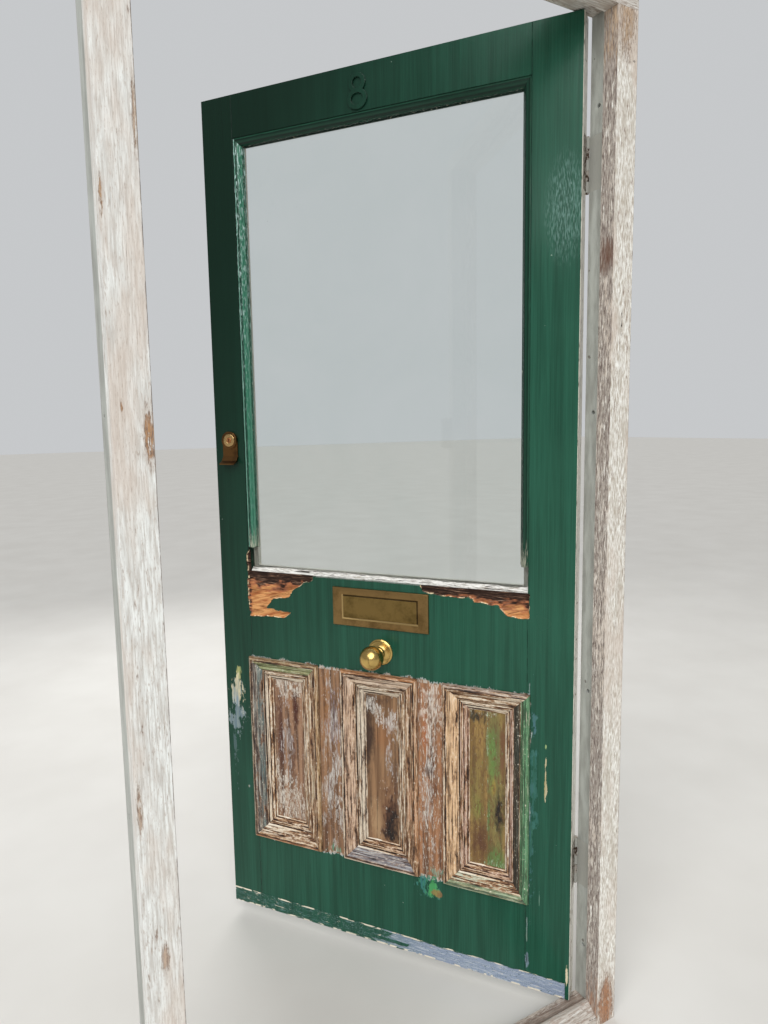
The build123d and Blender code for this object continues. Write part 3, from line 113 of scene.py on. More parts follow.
EYE = (-0.6449, -1.0189, 1.2737)
HEADING = math.radians(30.135)
TILT = math.radians(-7.01)
ROLL = math.radians(-0.94)
FOCAL_ROWS, PICTURE_ROWS = 724.8, 1024
SENSOR = 36.0
lens = bpy.data.cameras.new("camera")
lens.sensor_fit = "VERTICAL"
lens.sensor_height = SENSOR
lens.lens = FOCAL_ROWS / PICTURE_ROWS * SENSOR
lens.clip_start = 0.02
camera = placed("camera", lens)
camera.rotation_mode = "XYZ"
look = (Matrix.Rotation(-HEADING, 4, "Z") @ Matrix.Rotation(math.pi / 2 + TILT, 4, "X")
        @ Matrix.Rotation(ROLL, 4, "Z"))
camera.matrix_world = Matrix.Translation(EYE) @ look
bpy.context.scene.camera = camera
print("camera lens", round(lens.lens, 2), "mm")

# %% [markdown]
# ## Floor and light
# A pale floor and a pale sky make a plain studio. The daylight is a sun with a very wide disc, as
# through cloud, so its shadows are soft. A broad light on the left and a broader one behind fill
# them, and gloss doesn't mirror either. The glint is the opposite: a small light that gloss
# mirrors on the upper hinge stile, and that lights nothing else. The sky looks paler to the
# camera than the light that it gives, so a plain backdrop doesn't wash out dark gloss.

# %% Floor
FLOOR_REACH = 40.0
floor_mesh = bpy.data.meshes.new("floor")
corners = [(-FLOOR_REACH, -FLOOR_REACH, 0), (FLOOR_REACH, -FLOOR_REACH, 0),
           (FLOOR_REACH, FLOOR_REACH, 0), (-FLOOR_REACH, FLOOR_REACH, 0)]
floor_mesh.from_pydata(corners, [], [(0, 1, 2, 3)])
floor = placed("floor", floor_mesh)
print("floor", 2 * FLOOR_REACH, "m wide")

# %% Sky
SKY_COLOUR = (0.86, 0.88, 0.90, 1)
SKY_AS_LIGHT, SKY_AS_SEEN = 0.38, 0.66
sky = bpy.data.worlds.new("pale sky")
sky.use_nodes = True
sky_nodes, sky_links = sky.node_tree.nodes, sky.node_tree.links
backdrop = sky_nodes["Background"]
backdrop.inputs["Color"].default_value = SKY_COLOUR
rays = sky_nodes.new("ShaderNodeLightPath")
looked_at = sky_nodes.new("ShaderNodeMath")
looked_at.operation = "MAXIMUM"
sky_links.new(rays.outputs["Is Camera Ray"], looked_at.inputs[0])
sky_links.new(rays.outputs["Is Transmission Ray"], looked_at.inputs[1])
strength = sky_nodes.new("ShaderNodeMapRange")
strength.inputs["To Min"].default_value = SKY_AS_LIGHT
strength.inputs["To Max"].default_value = SKY_AS_SEEN
sky_links.new(looked_at.outputs[0], strength.inputs[0])
sky_links.new(strength.outputs[0], backdrop.inputs["Strength"])
bpy.context.scene.world = sky
bpy.context.scene.view_settings.view_transform = "Standard"
print("sky strength", SKY_AS_LIGHT, "as light and", SKY_AS_SEEN, "as seen")

# %% Lights
SUN_STRENGTH, SUN_DISC, SUN_RUNS = 2.5, math.radians(55), (2.6, 3.3, -3.6)
LEAF_MIDDLE = (0.1, 0.3, 1.0)
SHEEN_ON_STILE = (0.38, 0.045, 1.675)


def aimed_light(name, place, target, size, power):
    """Square area light at a place, turned so that its face looks at the target."""
    light = bpy.data.lights.new(name, "AREA")
    light.size = size
    light.energy = power
    made = placed(name, light)
    made.location = place
    made.rotation_euler = (Vector(target) - Vector(place)).to_track_quat("-Z", "Y").to_euler()
    return made


day = bpy.data.lights.new("daylight", "SUN")
day.energy = SUN_STRENGTH
day.angle = SUN_DISC
daylight = placed("daylight", day)
daylight.rotation_euler = Vector(SUN_RUNS).to_track_quat("-Z", "Y").to_euler()
window = aimed_light("window", (-3.4, -1.6, 2.0), LEAF_MIDDLE, 1.6, 30)
window.visible_camera = window.visible_glossy = window.visible_transmission = False
behind = aimed_light("behind", (0.9, 3.1, 2.6), LEAF_MIDDLE, 2.4, 60)
behind.visible_camera = behind.visible_glossy = behind.visible_transmission = False
glint = aimed_light("glint", (-1.37, -0.77, 2.2), SHEEN_ON_STILE, 0.12, 0.8)
glint.visible_camera = glint.visible_diffuse = glint.visible_transmission = False

# %% [markdown]
# ## A short vocabulary for nodes
# A procedural finish is a graph of small nodes. Writing each node out takes many lines, so a few
# helpers name what a finisher does: add a node, do a sum, spread a value between two limits, lay
# one colour over another, and take noise that is stretched along the grain.

# %% Colours and nodes
def tint(red, green, blue):
    """A colour as a screen shows it, 0 to 255, in the linear values that shaders use."""
    screen = np.array([red, green, blue]) / 255
    linear = np.where(screen < 0.04045, screen / 12.92, ((screen + 0.055) / 1.055) ** 2.4)
    return (*linear.tolist(), 1.0)


def add(tree, kind, sockets=None, **settings):
    """Adds a node; each socket, by name or number, takes a link or a plain value."""
    node = tree.nodes.new(kind)
    for name, value in settings.items():
        setattr(node, name, value)
    for name, value in (sockets or {}).items():
        if isinstance(value, bpy.types.NodeSocket):
            tree.links.new(value, node.inputs[name])
        else:
            node.inputs[name].default_value = value
    return node


print("white as a linear colour", tint(255, 255, 255))

# %% Sums
def calc(tree, operation, first, second=0.0, clamped=False):
    """One Math node, fed by two values."""
    return add(tree, "ShaderNodeMath", {0: first, 1: second}, operation=operation,
               use_clamp=clamped).outputs[0]


def times(tree, first, second, clamped=False):
    """Two values multiplied."""
    return calc(tree, "MULTIPLY", first, second, clamped)


def plus(tree, first, second, clamped=False):
    """Two values added."""
    return calc(tree, "ADD", first, second, clamped)


def minus(tree, first, second, clamped=False):
    """The first value less the second."""
    return calc(tree, "SUBTRACT", first, second, clamped)


def weigh(tree, *shares):
    """Values added up, each times its weight."""
    total = times(tree, *shares[0])
    for share in shares[1:]:
        total = plus(tree, total, times(tree, *share))
    return total


def swing_of(tree, value, strength):
    """A noise value's swing about its middle."""
    return times(tree, minus(tree, value, 0.5), strength)


def either_way(tree, value):
    """Noise from about 0.36 to 0.64 widened to run from -1 to 1."""
    return add(tree, "ShaderNodeMapRange", {0: value, 1: 0.36, 2: 0.64, 3: -1.0, 4: 1.0}).outputs[0]


def value_of(tree, label):
    """A value that a mesh carries at each of its points."""
    return add(tree, "ShaderNodeAttribute", attribute_name=label).outputs["Fac"]


print("sums", [helper.__name__ for helper in (calc, times, plus, minus, weigh)])

# %% Masks and noise
def spread(tree, value, low, high, to_low=0.0, to_high=1.0):
    """Eases a value that runs from low to high into another range, and holds it beyond."""
    sockets = {0: value, 1: low, 2: high, 3: to_low, 4: to_high}
    return add(tree, "ShaderNodeMapRange", sockets, interpolation_type="SMOOTHSTEP").outputs[0]


def lay(tree, mask, under, over):
    """Lays a colour over another where the mask is 1."""
    return add(tree, "ShaderNodeMix", {0: mask, 6: under, 7: over}, data_type="RGBA").outputs[2]


def stretch(tree, place, x, y, z):
    """A place with its three directions scaled, so that noise on it is drawn out along the smallest."""
    return add(tree, "ShaderNodeVectorMath", {0: place, 1: (x, y, z)}, operation="MULTIPLY").outputs[0]


def noise(tree, place, scale=1.0, detail=3.0, rough=0.55, twist=0.0):
    """Fractal noise from 0 to 1, about 0.5 on average."""
    sockets = {"Vector": place, "Scale": scale, "Detail": detail, "Roughness": rough, "Distortion": twist}
    return add(tree, "ShaderNodeTexNoise", sockets).outputs[0]


def strands(tree, place, x, y, z, detail=3.0, rough=0.55, twist=0.0):
    """Noise on a stretched place, drawn out along the direction with the smallest scale."""
    return noise(tree, stretch(tree, place, x, y, z), 1.0, detail, rough, twist)


def both(tree, first, second):
    """Where both masks are 1."""
    return times(tree, first, second)


def either(tree, first, second):
    """Where at least one mask is 1."""
    return calc(tree, "MAXIMUM", first, second)


def split(tree, place):
    """The three coordinates of a place."""
    return add(tree, "ShaderNodeSeparateXYZ", {0: place}).outputs


print("masks are joined by", both.__name__, "and", either.__name__)

# %% Node groups
def new_group(name, inputs, outputs):
    """Empty node group; inputs map a name to a socket kind and a value, outputs a name to a kind."""
    tree = bpy.data.node_groups.new(name, "ShaderNodeTree")
    for label, (kind, value) in inputs.items():
        socket = tree.interface.new_socket(label, in_out="INPUT", socket_type="NodeSocket" + kind)
        if value is not None:
            socket.default_value = value
    for label, kind in outputs.items():
        tree.interface.new_socket(label, in_out="OUTPUT", socket_type="NodeSocket" + kind)
    return tree, tree.nodes.new("NodeGroupInput").outputs, tree.nodes.new("NodeGroupOutput").inputs


def use(tree, group, **sockets):
    """Places a group in a tree and fills its inputs; underscores stand for spaces."""
    node = add(tree, "ShaderNodeGroup", node_tree=group)
    for name, value in sockets.items():
        socket = node.inputs[name.replace("_", " ")]
        if isinstance(value, bpy.types.NodeSocket):
            tree.links.new(value, socket)
        else:
            socket.default_value = value
    return node.outputs


print("groups so far", len(bpy.data.node_groups))

# %% [markdown]
# ## Effects that several finishes share
# Old joinery repeats the same few effects: wood whose soft rings have weathered away, paint that
# is left in scraps, brush marks in gloss, and small pale nicks. Each is a node group, built once
# and placed in every finish with its own values, the way a painter keeps a few pots and brushes.

# %% Weathered grain
grain, given, result = new_group(
    "weathered grain",
    {"Place": ("Vector", None), "Pale": ("Color", tint(170, 135, 105)), "Dark": ("Color", tint(70, 48, 36)),
     "Rings": ("Float", 90.0)},
    {"Colour": "Color", "Height": "Float"})
lines = add(grain, "ShaderNodeVectorMath",
            {0: stretch(grain, given["Place"], 1, 1, 0.045), 3: given["Rings"]},
            operation="SCALE").outputs[0]
rings = noise(grain, lines, 1.0, 5.0, 0.62, 0.35)
fibres = strands(grain, given["Place"], 900, 900, 22, 2.0, 0.5)
checks = strands(grain, given["Place"], 210, 210, 3.2, 2.0, 0.6, 0.2)
crack = spread(grain, checks, 0.315, 0.285)
tone = plus(grain, spread(grain, rings, 0.34, 0.66), times(grain, fibres, 0.3), clamped=True)
grain.links.new(lay(grain, crack, lay(grain, tone, given["Dark"], given["Pale"]), tint(30, 22, 18)),
                result["Colour"])
raised = plus(grain, rings, times(grain, fibres, 0.35))
grain.links.new(minus(grain, raised, times(grain, crack, 0.8)), result["Height"])
print("grain group", [socket.name for socket in grain.interface.items_tree])

# %% Paint left in scraps
# The cover moves a threshold through stretched noise, so the scraps grow from specks to a skin
# with holes. The height has a softer threshold than the mask.
remains, given, result = new_group(
    "paint remains",
    {"Place": ("Vector", None), "Cover": ("Float", 0.5), "Across": ("Float", 160.0),
     "Along": ("Float", 22.0)},
    {"Mask": "Float", "Height": "Float"})
drawn = add(remains, "ShaderNodeCombineXYZ",
            {0: given["Across"], 1: given["Across"], 2: given["Along"]}).outputs[0]
drawn = add(remains, "ShaderNodeVectorMath", {0: given["Place"], 1: drawn}, operation="MULTIPLY").outputs[0]
scraps = noise(remains, drawn, 1.0, 6.0, 0.68, 0.25)
over = minus(remains, scraps, spread(remains, given["Cover"], 0.0, 1.0, 0.78, 0.22))
remains.links.new(spread(remains, over, -0.012, 0.012), result["Mask"])
remains.links.new(spread(remains, over, -0.02, 0.05), result["Height"])
print("nodes in the paint remains", len(remains.nodes))

# %% Ragged patch
# The distance outside a box, max(|p - c| - h) over x and z, is shifted by a torn value that the
# material works out once and shares, so every patch tears in the same fine way.
patch, given, result = new_group(
    "ragged patch",
    {"Place": ("Vector", None), "Centre": ("Vector", None), "Half": ("Vector", (0.01, 1, 0.01)),
     "Torn": ("Float", 0.0), "Rag": ("Float", 0.004)},
    {"Mask": "Float", "Rim": "Float"})
away = add(patch, "ShaderNodeVectorMath", {0: given["Place"], 1: given["Centre"]},
           operation="SUBTRACT").outputs[0]
away = add(patch, "ShaderNodeVectorMath", {0: away}, operation="ABSOLUTE").outputs[0]
away = add(patch, "ShaderNodeVectorMath", {0: away, 1: given["Half"]}, operation="SUBTRACT").outputs[0]
away = split(patch, away)
away = calc(patch, "MAXIMUM", away[0], away[2])
away = plus(patch, away, times(patch, given["Torn"], given["Rag"]))
patch.links.new(spread(patch, away, 0.0008, -0.0008), result["Mask"])
patch.links.new(spread(patch, calc(patch, "ABSOLUTE", away), 0.0035, 0.0005), result["Rim"])
print("nodes in the ragged patch", len(patch.nodes))

# %% Worn spot
# An ellipsoid of wear: 1 - |(p - c) / h| is 1 in the middle and 0 on the rim. The torn
# value is added before the wear is spread, so the rim breaks up into islands.
spot, given, result = new_group(
    "worn spot",
    {"Place": ("Vector", None), "Centre": ("Vector", None), "Half": ("Vector", (0.01, 1, 0.01)),
     "Torn": ("Float", 0.0), "Rag": ("Float", 0.5)},
    {"Soft": "Float"})
away = add(spot, "ShaderNodeVectorMath", {0: given["Place"], 1: given["Centre"]},
           operation="SUBTRACT").outputs[0]
away = add(spot, "ShaderNodeVectorMath", {0: away, 1: given["Half"]}, operation="DIVIDE").outputs[0]
away = add(spot, "ShaderNodeVectorMath", {0: away}, operation="LENGTH").outputs["Value"]
inward = minus(spot, 1.0, away)
inward = plus(spot, inward, times(spot, given["Torn"], given["Rag"]))
spot.links.new(spread(spot, inward, -0.35, 0.75), result["Soft"])
print("nodes in the worn spot", len(spot.nodes))

# %% Brush marks and pale nicks
brushed, given, result = new_group(
    "brush marks", {"Place": ("Vector", None)}, {"Tone": "Float", "Height": "Float"})
bristles = strands(brushed, given["Place"], 420, 420, 7, 3.0, 0.6)
sweeps = strands(brushed, given["Place"], 60, 60, 2.2, 2.0, 0.5)
brushed.links.new(weigh(brushed, (bristles, 0.5), (sweeps, 0.5)), result["Tone"])
brushed.links.new(plus(brushed, bristles, sweeps), result["Height"])
nicks, given, result = new_group(
    "pale nicks", {"Place": ("Vector", None), "Spacing": ("Float", 60.0), "Share": ("Float", 0.1)},
    {"Mask": "Float"})
wobble = noise(nicks, given["Place"], 300.0, 2.0, 0.6)
cells = add(nicks, "ShaderNodeTexVoronoi",
            {"Vector": given["Place"], "Scale": given["Spacing"], "Randomness": 1.0})
chosen = split(nicks, cells.outputs["Color"])[0]
size = times(nicks, wobble, spread(nicks, chosen, given["Share"], 0.0, 0.0, 0.24))
nicks.links.new(spread(nicks, minus(nicks, cells.outputs["Distance"], size), 0.0, -0.02), result["Mask"])
print("groups", sorted(group.name for group in bpy.data.node_groups))

# %% [markdown]
# ## Where a finish reads its place
# Patterns are laid out on the closed leaf. A Mapping node turns Object coordinates back from the
# open leaf. A second one lays the grain on its side for the head and the sill of the frame,
# because a board is sawn along its own length.

# %% Places on the leaf and on the frame
def new_finish(name):
    """Empty node material with its own Principled shader."""
    material = bpy.data.materials.new(name)
    material.use_nodes = True
    return material, material.node_tree, material.node_tree.nodes["Principled BSDF"]


def frame_place(tree):
    """Object coordinates, for pieces that stand as they are."""
    return add(tree, "ShaderNodeTexCoord").outputs["Object"]


def leaf_place(tree):
    """Object coordinates turned back to the closed leaf."""
    back = (PINS[0] - (COS * PINS[0] - SIN * PINS[1]), PINS[1] - (SIN * PINS[0] + COS * PINS[1]), 0)
    sockets = {"Vector": frame_place(tree), "Location": back, "Rotation": (0, 0, OPEN)}
    return add(tree, "ShaderNodeMapping", sockets).outputs[0]


def on_its_side(tree, place):
    """The same place with x and z changed over, for wood that lies along x."""
    return add(tree, "ShaderNodeMapping", {"Vector": place, "Rotation": (0, math.pi / 2, 0)}).outputs[0]


print("leaf turned back by", round(math.degrees(OPEN), 1), "degrees")

# %% Settling a finish
def settle(tree, shader, colour, roughness, height, depth, arris=0.0012, mirror=0.5):
    """Leads colour, roughness and a bump of a depth in metres into the shader, over a rounded arris."""
    shader.inputs["Specular IOR Level"].default_value = mirror
    rounded = add(tree, "ShaderNodeBevel", {"Radius": arris}, samples=4).outputs[0]
    bump = add(tree, "ShaderNodeBump",
               {"Height": height, "Distance": depth, "Normal": rounded, "Strength": 1.0})
    for name, value in (("Base Color", colour), ("Roughness", roughness), ("Normal", bump.outputs[0])):
        if isinstance(value, bpy.types.NodeSocket):
            tree.links.new(value, shader.inputs[name])
        else:
            shader.inputs[name].default_value = value


def give(material, *names):
    """Gives CAD solids their finish by their material slots."""
    for name in names:
        for place in nodes[name].material_slots:
            place.material = material


floor_finish, tree, shader = new_finish("floor")
mottle = noise(tree, frame_place(tree), 2.5, 3.0)
settle(tree, shader, lay(tree, mottle, tint(206, 203, 197), tint(222, 220, 215)), 0.7, mottle, 0.0005)
floor.data.materials.append(floor_finish)
print("slots on a solid", len(nodes["lock_rail"].material_slots))

# %% [markdown]
# ## Green gloss and what shows through it
# The leaf was painted many times, last in dark green gloss, brushed upwards. Near the panels a
# stripper has eaten back to bare wood, and around the edge of that zone the older coats show as
# torn bands: white undercoat, blue-grey, pale green. The inner side keeps a plain white coat.
# Some of the photograph's light is painted in, where a plain studio doesn't give it: the green
# deepens towards the top and the latch side, and pale strokes on the hinge stile are a sheen.

# %% Colours of the old coats
GREEN = tint(34, 84, 66)
GREEN_SHADE = tint(22, 62, 47)
WHITE_COAT = tint(214, 209, 198)
CREAM = tint(214, 200, 164)
BLUE_GREY = tint(122, 138, 152)
SEA_GREEN = tint(82, 140, 112)
BARE = tint(128, 92, 64)
CHAR = tint(28, 21, 18)
PANEL_LEFT_X = LEAF_EDGE - 0.782
PANEL_RIGHT_X = LEAF_EDGE - 0.096
EVERYWHERE = 1.0
GLOSS_MIRROR = 0.24
DEEPEST = 0.94
print("green gloss in linear values", [round(part, 4) for part in GREEN])

# %% Coats of the leaf
def bands(tree, value, stops):
    """Colour that runs through the given stops, each a place from 0 to 1 and a colour."""
    ramp = add(tree, "ShaderNodeValToRGB", {0: value})
    elements = ramp.color_ramp.elements
    elements.remove(elements[1])
    elements[0].position, elements[0].color = stops[0]
    for position, colour in stops[1:]:
        elements.new(position).color = colour
    return ramp.outputs[0]


def torn(tree, place):
    """A ragged value from -1 to 1 that all patches of a finish share: broad tears and fine ones."""
    broad = noise(tree, stretch(tree, place, 1, 1, 0.55), 34.0, 2.0, 0.5)
    fine = noise(tree, stretch(tree, place, 1, 1, 0.4), 190.0, 4.0, 0.65)
    return either_way(tree, weigh(tree, (broad, 0.55), (fine, 0.45)))


def gloss_coat(tree, place):
    """Brushed green gloss with painted shade towards the upper latch corner: its colour, roughness and
    height.
    """
    marks = use(tree, brushed, Place=place)
    specks = use(tree, nicks, Place=place, Spacing=85.0, Share=0.045)["Mask"]
    cloud = noise(tree, place, 3.0, 3.0)
    x, _, z = split(tree, place)[:3]
    # Painted shade: the green darkens towards the top and the latch side, fixed in place on the closed leaf.
    slant = minus(tree, x, times(tree, minus(tree, z, 1.0), 0.35))
    shade = spread(tree, slant, -0.65, 0.12, DEEPEST, 0.0)
    colour = lay(tree, spread(tree, marks["Tone"], 0.28, 0.72), GREEN_SHADE, GREEN)
    colour = lay(tree, spread(tree, cloud, 0.46, 0.74, 0.0, 0.25), colour, tint(42, 94, 74))
    colour = lay(tree, shade, colour, tint(6, 28, 18))
    colour = lay(tree, times(tree, specks, 0.55), colour, tint(150, 172, 158))
    strokes = strands(tree, place, 520, 520, 85, 2.0, 0.5)
    height = weigh(tree, (marks["Height"], 0.25), (strokes, 0.14))
    return colour, spread(tree, cloud, 0.30, 0.75, 0.20, 0.28), height


def inner_coat(tree, place, back):
    """Old white gloss on what faces inward: its colour, and a mask of what lies behind a depth y."""
    strokes = strands(tree, place, 330, 330, 9, 3.0, 0.6)
    grime = strands(tree, place, 9, 9, 4, 5.0, 0.65)
    chips = use(tree, nicks, Place=place, Spacing=24.0, Share=0.06)["Mask"]
    colour = lay(tree, spread(tree, strokes, 0.30, 0.70), tint(210, 204, 191), tint(218, 213, 201))
    colour = lay(tree, spread(tree, grime, 0.54, 0.74, 0.0, 0.35), colour, tint(182, 170, 148))
    colour = lay(tree, times(tree, chips, 0.8), colour, tint(140, 118, 92))
    return colour, spread(tree, split(tree, place)[1], back - 0.0012, back - 0.0006)


def worn_at(tree, place, middle, half, ragged, rag):
    """How worn a place is by one ragged spot of the leaf, from its middle (x, z) and half sizes."""
    centre, size = (middle[0], 0, middle[1]), (half[0], EVERYWHERE, half[1])
    return use(tree, spot, Place=place, Centre=centre, Half=size, Torn=ragged, Rag=rag)["Soft"]


print("the gloss is deepened by at most", DEEPEST)

# %% Scrapes in the gloss
# The middle (x, z) of the painted sheen on the hinge stile, pale strokes that stand for a
# highlight, and how fast it fades across and along.
PAINTED_SHEEN = (0.403, 1.672)
PAINTED_SHEEN_FADE = (32.0, 13.0)
# Each scrape is a middle (x, z) and half sizes on the closed leaf in metres, how much its rim
# rags, how strongly it shows, and two colours. The first lies over the second in scraps.
SCRAPES = [
    ((-0.392, 0.655), (0.007, 0.018), 0.9, 0.8, tint(176, 172, 112), tint(96, 128, 84)),
    ((-0.399, 0.602), (0.026, 0.042), 0.8, 0.85, CREAM, tint(126, 142, 144)),
    ((-0.404, 0.555), (0.024, 0.048), 1.0, 0.6, tint(150, 162, 162), BLUE_GREY),
    ((-0.414, 0.450), (0.006, 0.060), 1.2, 0.30, BLUE_GREY, tint(100, 124, 120)),
    ((0.352, 0.640), (0.005, 0.055), 1.1, 0.55, tint(86, 122, 140), tint(80, 120, 120)),
    ((0.352, 0.500), (0.006, 0.130), 1.1, 0.45, tint(60, 114, 110), tint(54, 104, 88)),
    ((0.346, 0.400), (0.007, 0.110), 1.2, 0.38, tint(60, 110, 92), tint(76, 116, 128)),
    ((0.3765, 0.520), (0.0026, 0.046), 1.0, 0.65, CREAM, tint(186, 162, 110)),
    ((0.3770, 0.598), (0.0032, 0.007), 0.6, 0.8, tint(150, 176, 120), CREAM),
    ((0.108, 0.228), (0.026, 0.036), 0.9, 0.9, tint(52, 112, 110), tint(58, 128, 96)),
    ((0.118, 0.218), (0.014, 0.024), 0.9, 0.9, tint(76, 158, 92), tint(64, 138, 80)),
    ((0.131, 0.201), (0.011, 0.006), 1.1, 0.75, tint(150, 116, 66), BARE),
    ((0.340, 0.100), (0.0050, 0.022), 0.6, 0.8, tint(112, 130, 142), BLUE_GREY),
    ((0.340, 0.104), (0.0012, 0.013), 0.5, 1.0, CHAR, CHAR),
    ((0.4262, 0.086), (0.0028, 0.024), 0.6, 0.9, CREAM, WHITE_COAT),
    ((0.3395, 0.165), (0.0012, 0.028), 0.9, 0.5, tint(140, 160, 150), BLUE_GREY),
    ((-0.009, 0.816), (0.004, 0.004), 0.5, 0.8, CREAM, tint(120, 130, 90)),
    ((0.341, 0.715), (0.0020, 0.022), 0.9, 0.5, tint(150, 166, 158), BLUE_GREY),
    ((0.366, 0.248), (0.0010, 0.022), 0.6, 0.5, tint(130, 160, 146), SEA_GREEN),
    ((-0.375, 0.36), (0.003, 0.004), 0.5, 0.7, CREAM, BLUE_GREY),
]
print("scrapes and chips in the gloss", len(SCRAPES))

# %% Gloss on the leaf
leaf_gloss, tree, shader = new_finish("leaf_paint")
place = leaf_place(tree)
x, _, z = split(tree, place)[:3]
ragged = torn(tree, place)
colour, roughness, height = gloss_coat(tree, place)
scraps = use(tree, remains, Place=place, Cover=0.5, Across=150.0, Along=34.0)
under = strands(tree, place, 260, 260, 40, 3.0, 0.6)
joints = [calc(tree, "ABSOLUTE", minus(tree, x, joint)) for joint in (PANEL_LEFT_X, PANEL_RIGHT_X)]
joint = spread(tree, calc(tree, "MINIMUM", *joints), 0.0010, 0.0003)
outside_zone = either(tree, spread(tree, z, RAIL_FOOT + 0.012, RAIL_FOOT + 0.018),
                      spread(tree, z, PANEL_FOOT - 0.01, PANEL_FOOT - 0.016))
joint = both(tree, both(tree, joint, spread(tree, under, 0.40, 0.52)), outside_zone)
colour = lay(tree, times(tree, joint, 0.55), colour, tint(14, 36, 28))
zone_x = (PANEL_LEFT_X + PANEL_RIGHT_X) / 2
zone_z = (RAIL_FOOT + PANEL_FOOT) / 2
zone = (PANEL_RIGHT_X - zone_x + 0.004, EVERYWHERE, RAIL_FOOT - zone_z + 0.006)
stripped = use(tree, patch, Place=place, Centre=(zone_x, 0, zone_z), Half=zone, Torn=ragged, Rag=0.0055)
wood = use(tree, grain, Place=place, Pale=tint(150, 118, 90), Dark=tint(66, 46, 36))
wood_colour = lay(tree, scraps["Mask"], wood["Colour"], tint(178, 168, 156))
colour = lay(tree, both(tree, stripped["Rim"], spread(tree, under, 0.46, 0.54)), colour, tint(176, 186, 184))
colour = lay(tree, stripped["Mask"], colour, wood_colour)
lost = stripped["Mask"]
streak = strands(tree, place, 280, 280, 16, 4.0, 0.66)
for middle, half, rag, strength, first, second in SCRAPES:
    worn = worn_at(tree, place, middle, half, ragged, rag)
    streaky = spread(tree, plus(tree, times(tree, worn, 0.55), streak), 0.72, 0.92, 0.0, strength)
    streaky = both(tree, streaky, spread(tree, worn, 0.0, 0.25))
    colour = lay(tree, streaky, colour, lay(tree, spread(tree, streak, 0.42, 0.58), second, first))
    lost = either(tree, lost, times(tree, streaky, 0.6))
# Painted sheen: pale strokes fading out from a point on the upper hinge stile stand for the gloss's highlight
# there.
hairs = strands(tree, place, 620, 620, 75, 2.0, 0.5)
away = [calc(tree, "POWER", times(tree, minus(tree, value, middle), fade), 2.0)
        for value, middle, fade in zip((x, z), PAINTED_SHEEN, PAINTED_SHEEN_FADE)]
painted_sheen = plus(tree, *away)
painted_sheen = both(tree, spread(tree, painted_sheen, 2.4, 0.0, 0.0, 0.38), spread(tree, hairs, 0.44, 0.66))
colour = lay(tree, painted_sheen, colour, tint(134, 172, 164))
inner_white, inner = inner_coat(tree, place, LEAF_BACK)
edge = spread(tree, x, LEAF_EDGE - 0.0012, LEAF_EDGE - 0.0006)
old_white = lay(tree, spread(tree, under, 0.3, 0.5), tint(120, 112, 100), tint(216, 211, 198))
colour = lay(tree, inner, colour, inner_white)
colour = lay(tree, edge, colour, old_white)
lost = times(tree, lost, spread(tree, inner, 1.0, 0.0))
roughness = plus(tree, roughness, times(tree, lost, 0.45), clamped=True)
height = minus(tree, height, times(tree, either(tree, lost, joint), 1.5))
settle(tree, shader, colour, roughness, height, 0.0004, 0.0018, GLOSS_MIRROR)
give(leaf_gloss, "stile_hinge", "stile_latch", "top_rail", "lock_rail", "bottom_rail")
print("nodes in the leaf's gloss", len(tree.nodes))

# %% [markdown]
# ## Half-stripped wood
# The muntins and the three fields are the same boards with different luck: some keep a white or
# grey skin in the grain, one was scorched by the heat gun, one still holds a green stain. One
# function makes them all from a list of scraps: colour, cover, how it is drawn out, and where.

# %% Finish for stripped boards
def stripped_board(name, pale, dark, scraps, stains=(), back=EVERYWHERE):
    """Weathered wood under scraps of paint; scraps and stains lie at a middle (x, z) with half sizes."""
    material, tree, shader = new_finish(name)
    place = leaf_place(tree)
    ragged = torn(tree, place)
    wood = use(tree, grain, Place=place, Pale=pale, Dark=dark)
    colour, height = wood["Colour"], wood["Height"]
    crumbs = spread(tree, strands(tree, place, 400, 400, 56, 4.0, 0.7), 0.40, 0.60, 0.10, 0.92)
    for tone, middle, half, rag, strength in stains:
        stained = worn_at(tree, place, middle, half, ragged, rag)
        colour = lay(tree, times(tree, stained, strength), colour, tone)
    kept = None
    for tone, cover, across, along, where in scraps:
        if where:
            middle, half, rag = where
            cover = times(tree, worn_at(tree, place, middle, half, ragged, rag), cover)
        mask = use(tree, remains, Place=place, Cover=cover, Across=across, Along=along)["Height"]
        mask = both(tree, mask, crumbs)
        colour = lay(tree, mask, colour, tone)
        kept = mask if kept is None else either(tree, kept, mask)
    inner_white, inner = inner_coat(tree, place, back)
    colour = lay(tree, inner, colour, inner_white)
    height = plus(tree, height, times(tree, kept, 0.55))
    height = times(tree, height, spread(tree, inner, 0.0, 1.0, 1.0, 0.15))
    roughness = minus(tree, spread(tree, kept, 0.0, 1.0, 0.86, 0.6), times(tree, inner, 0.3))
    settle(tree, shader, colour, roughness, height, 0.0009)
    return material


WHITE_GREY = tint(200, 194, 186)
PALE_FLECK = tint(214, 206, 192)
LILAC = tint(158, 146, 154)
RED_BROWN = tint(70, 36, 26)
FIELD_BACK = closed_box("panel_left")[1][1]
middle_of = {name: (closed_box(name)[0][0] + closed_box(name)[1][0]) / 2
             for name in ("muntin_left", "muntin_right", "panel_left", "panel_centre", "panel_right")}
print("boards at", {name: round(float(value), 4) for name, value in middle_of.items()})

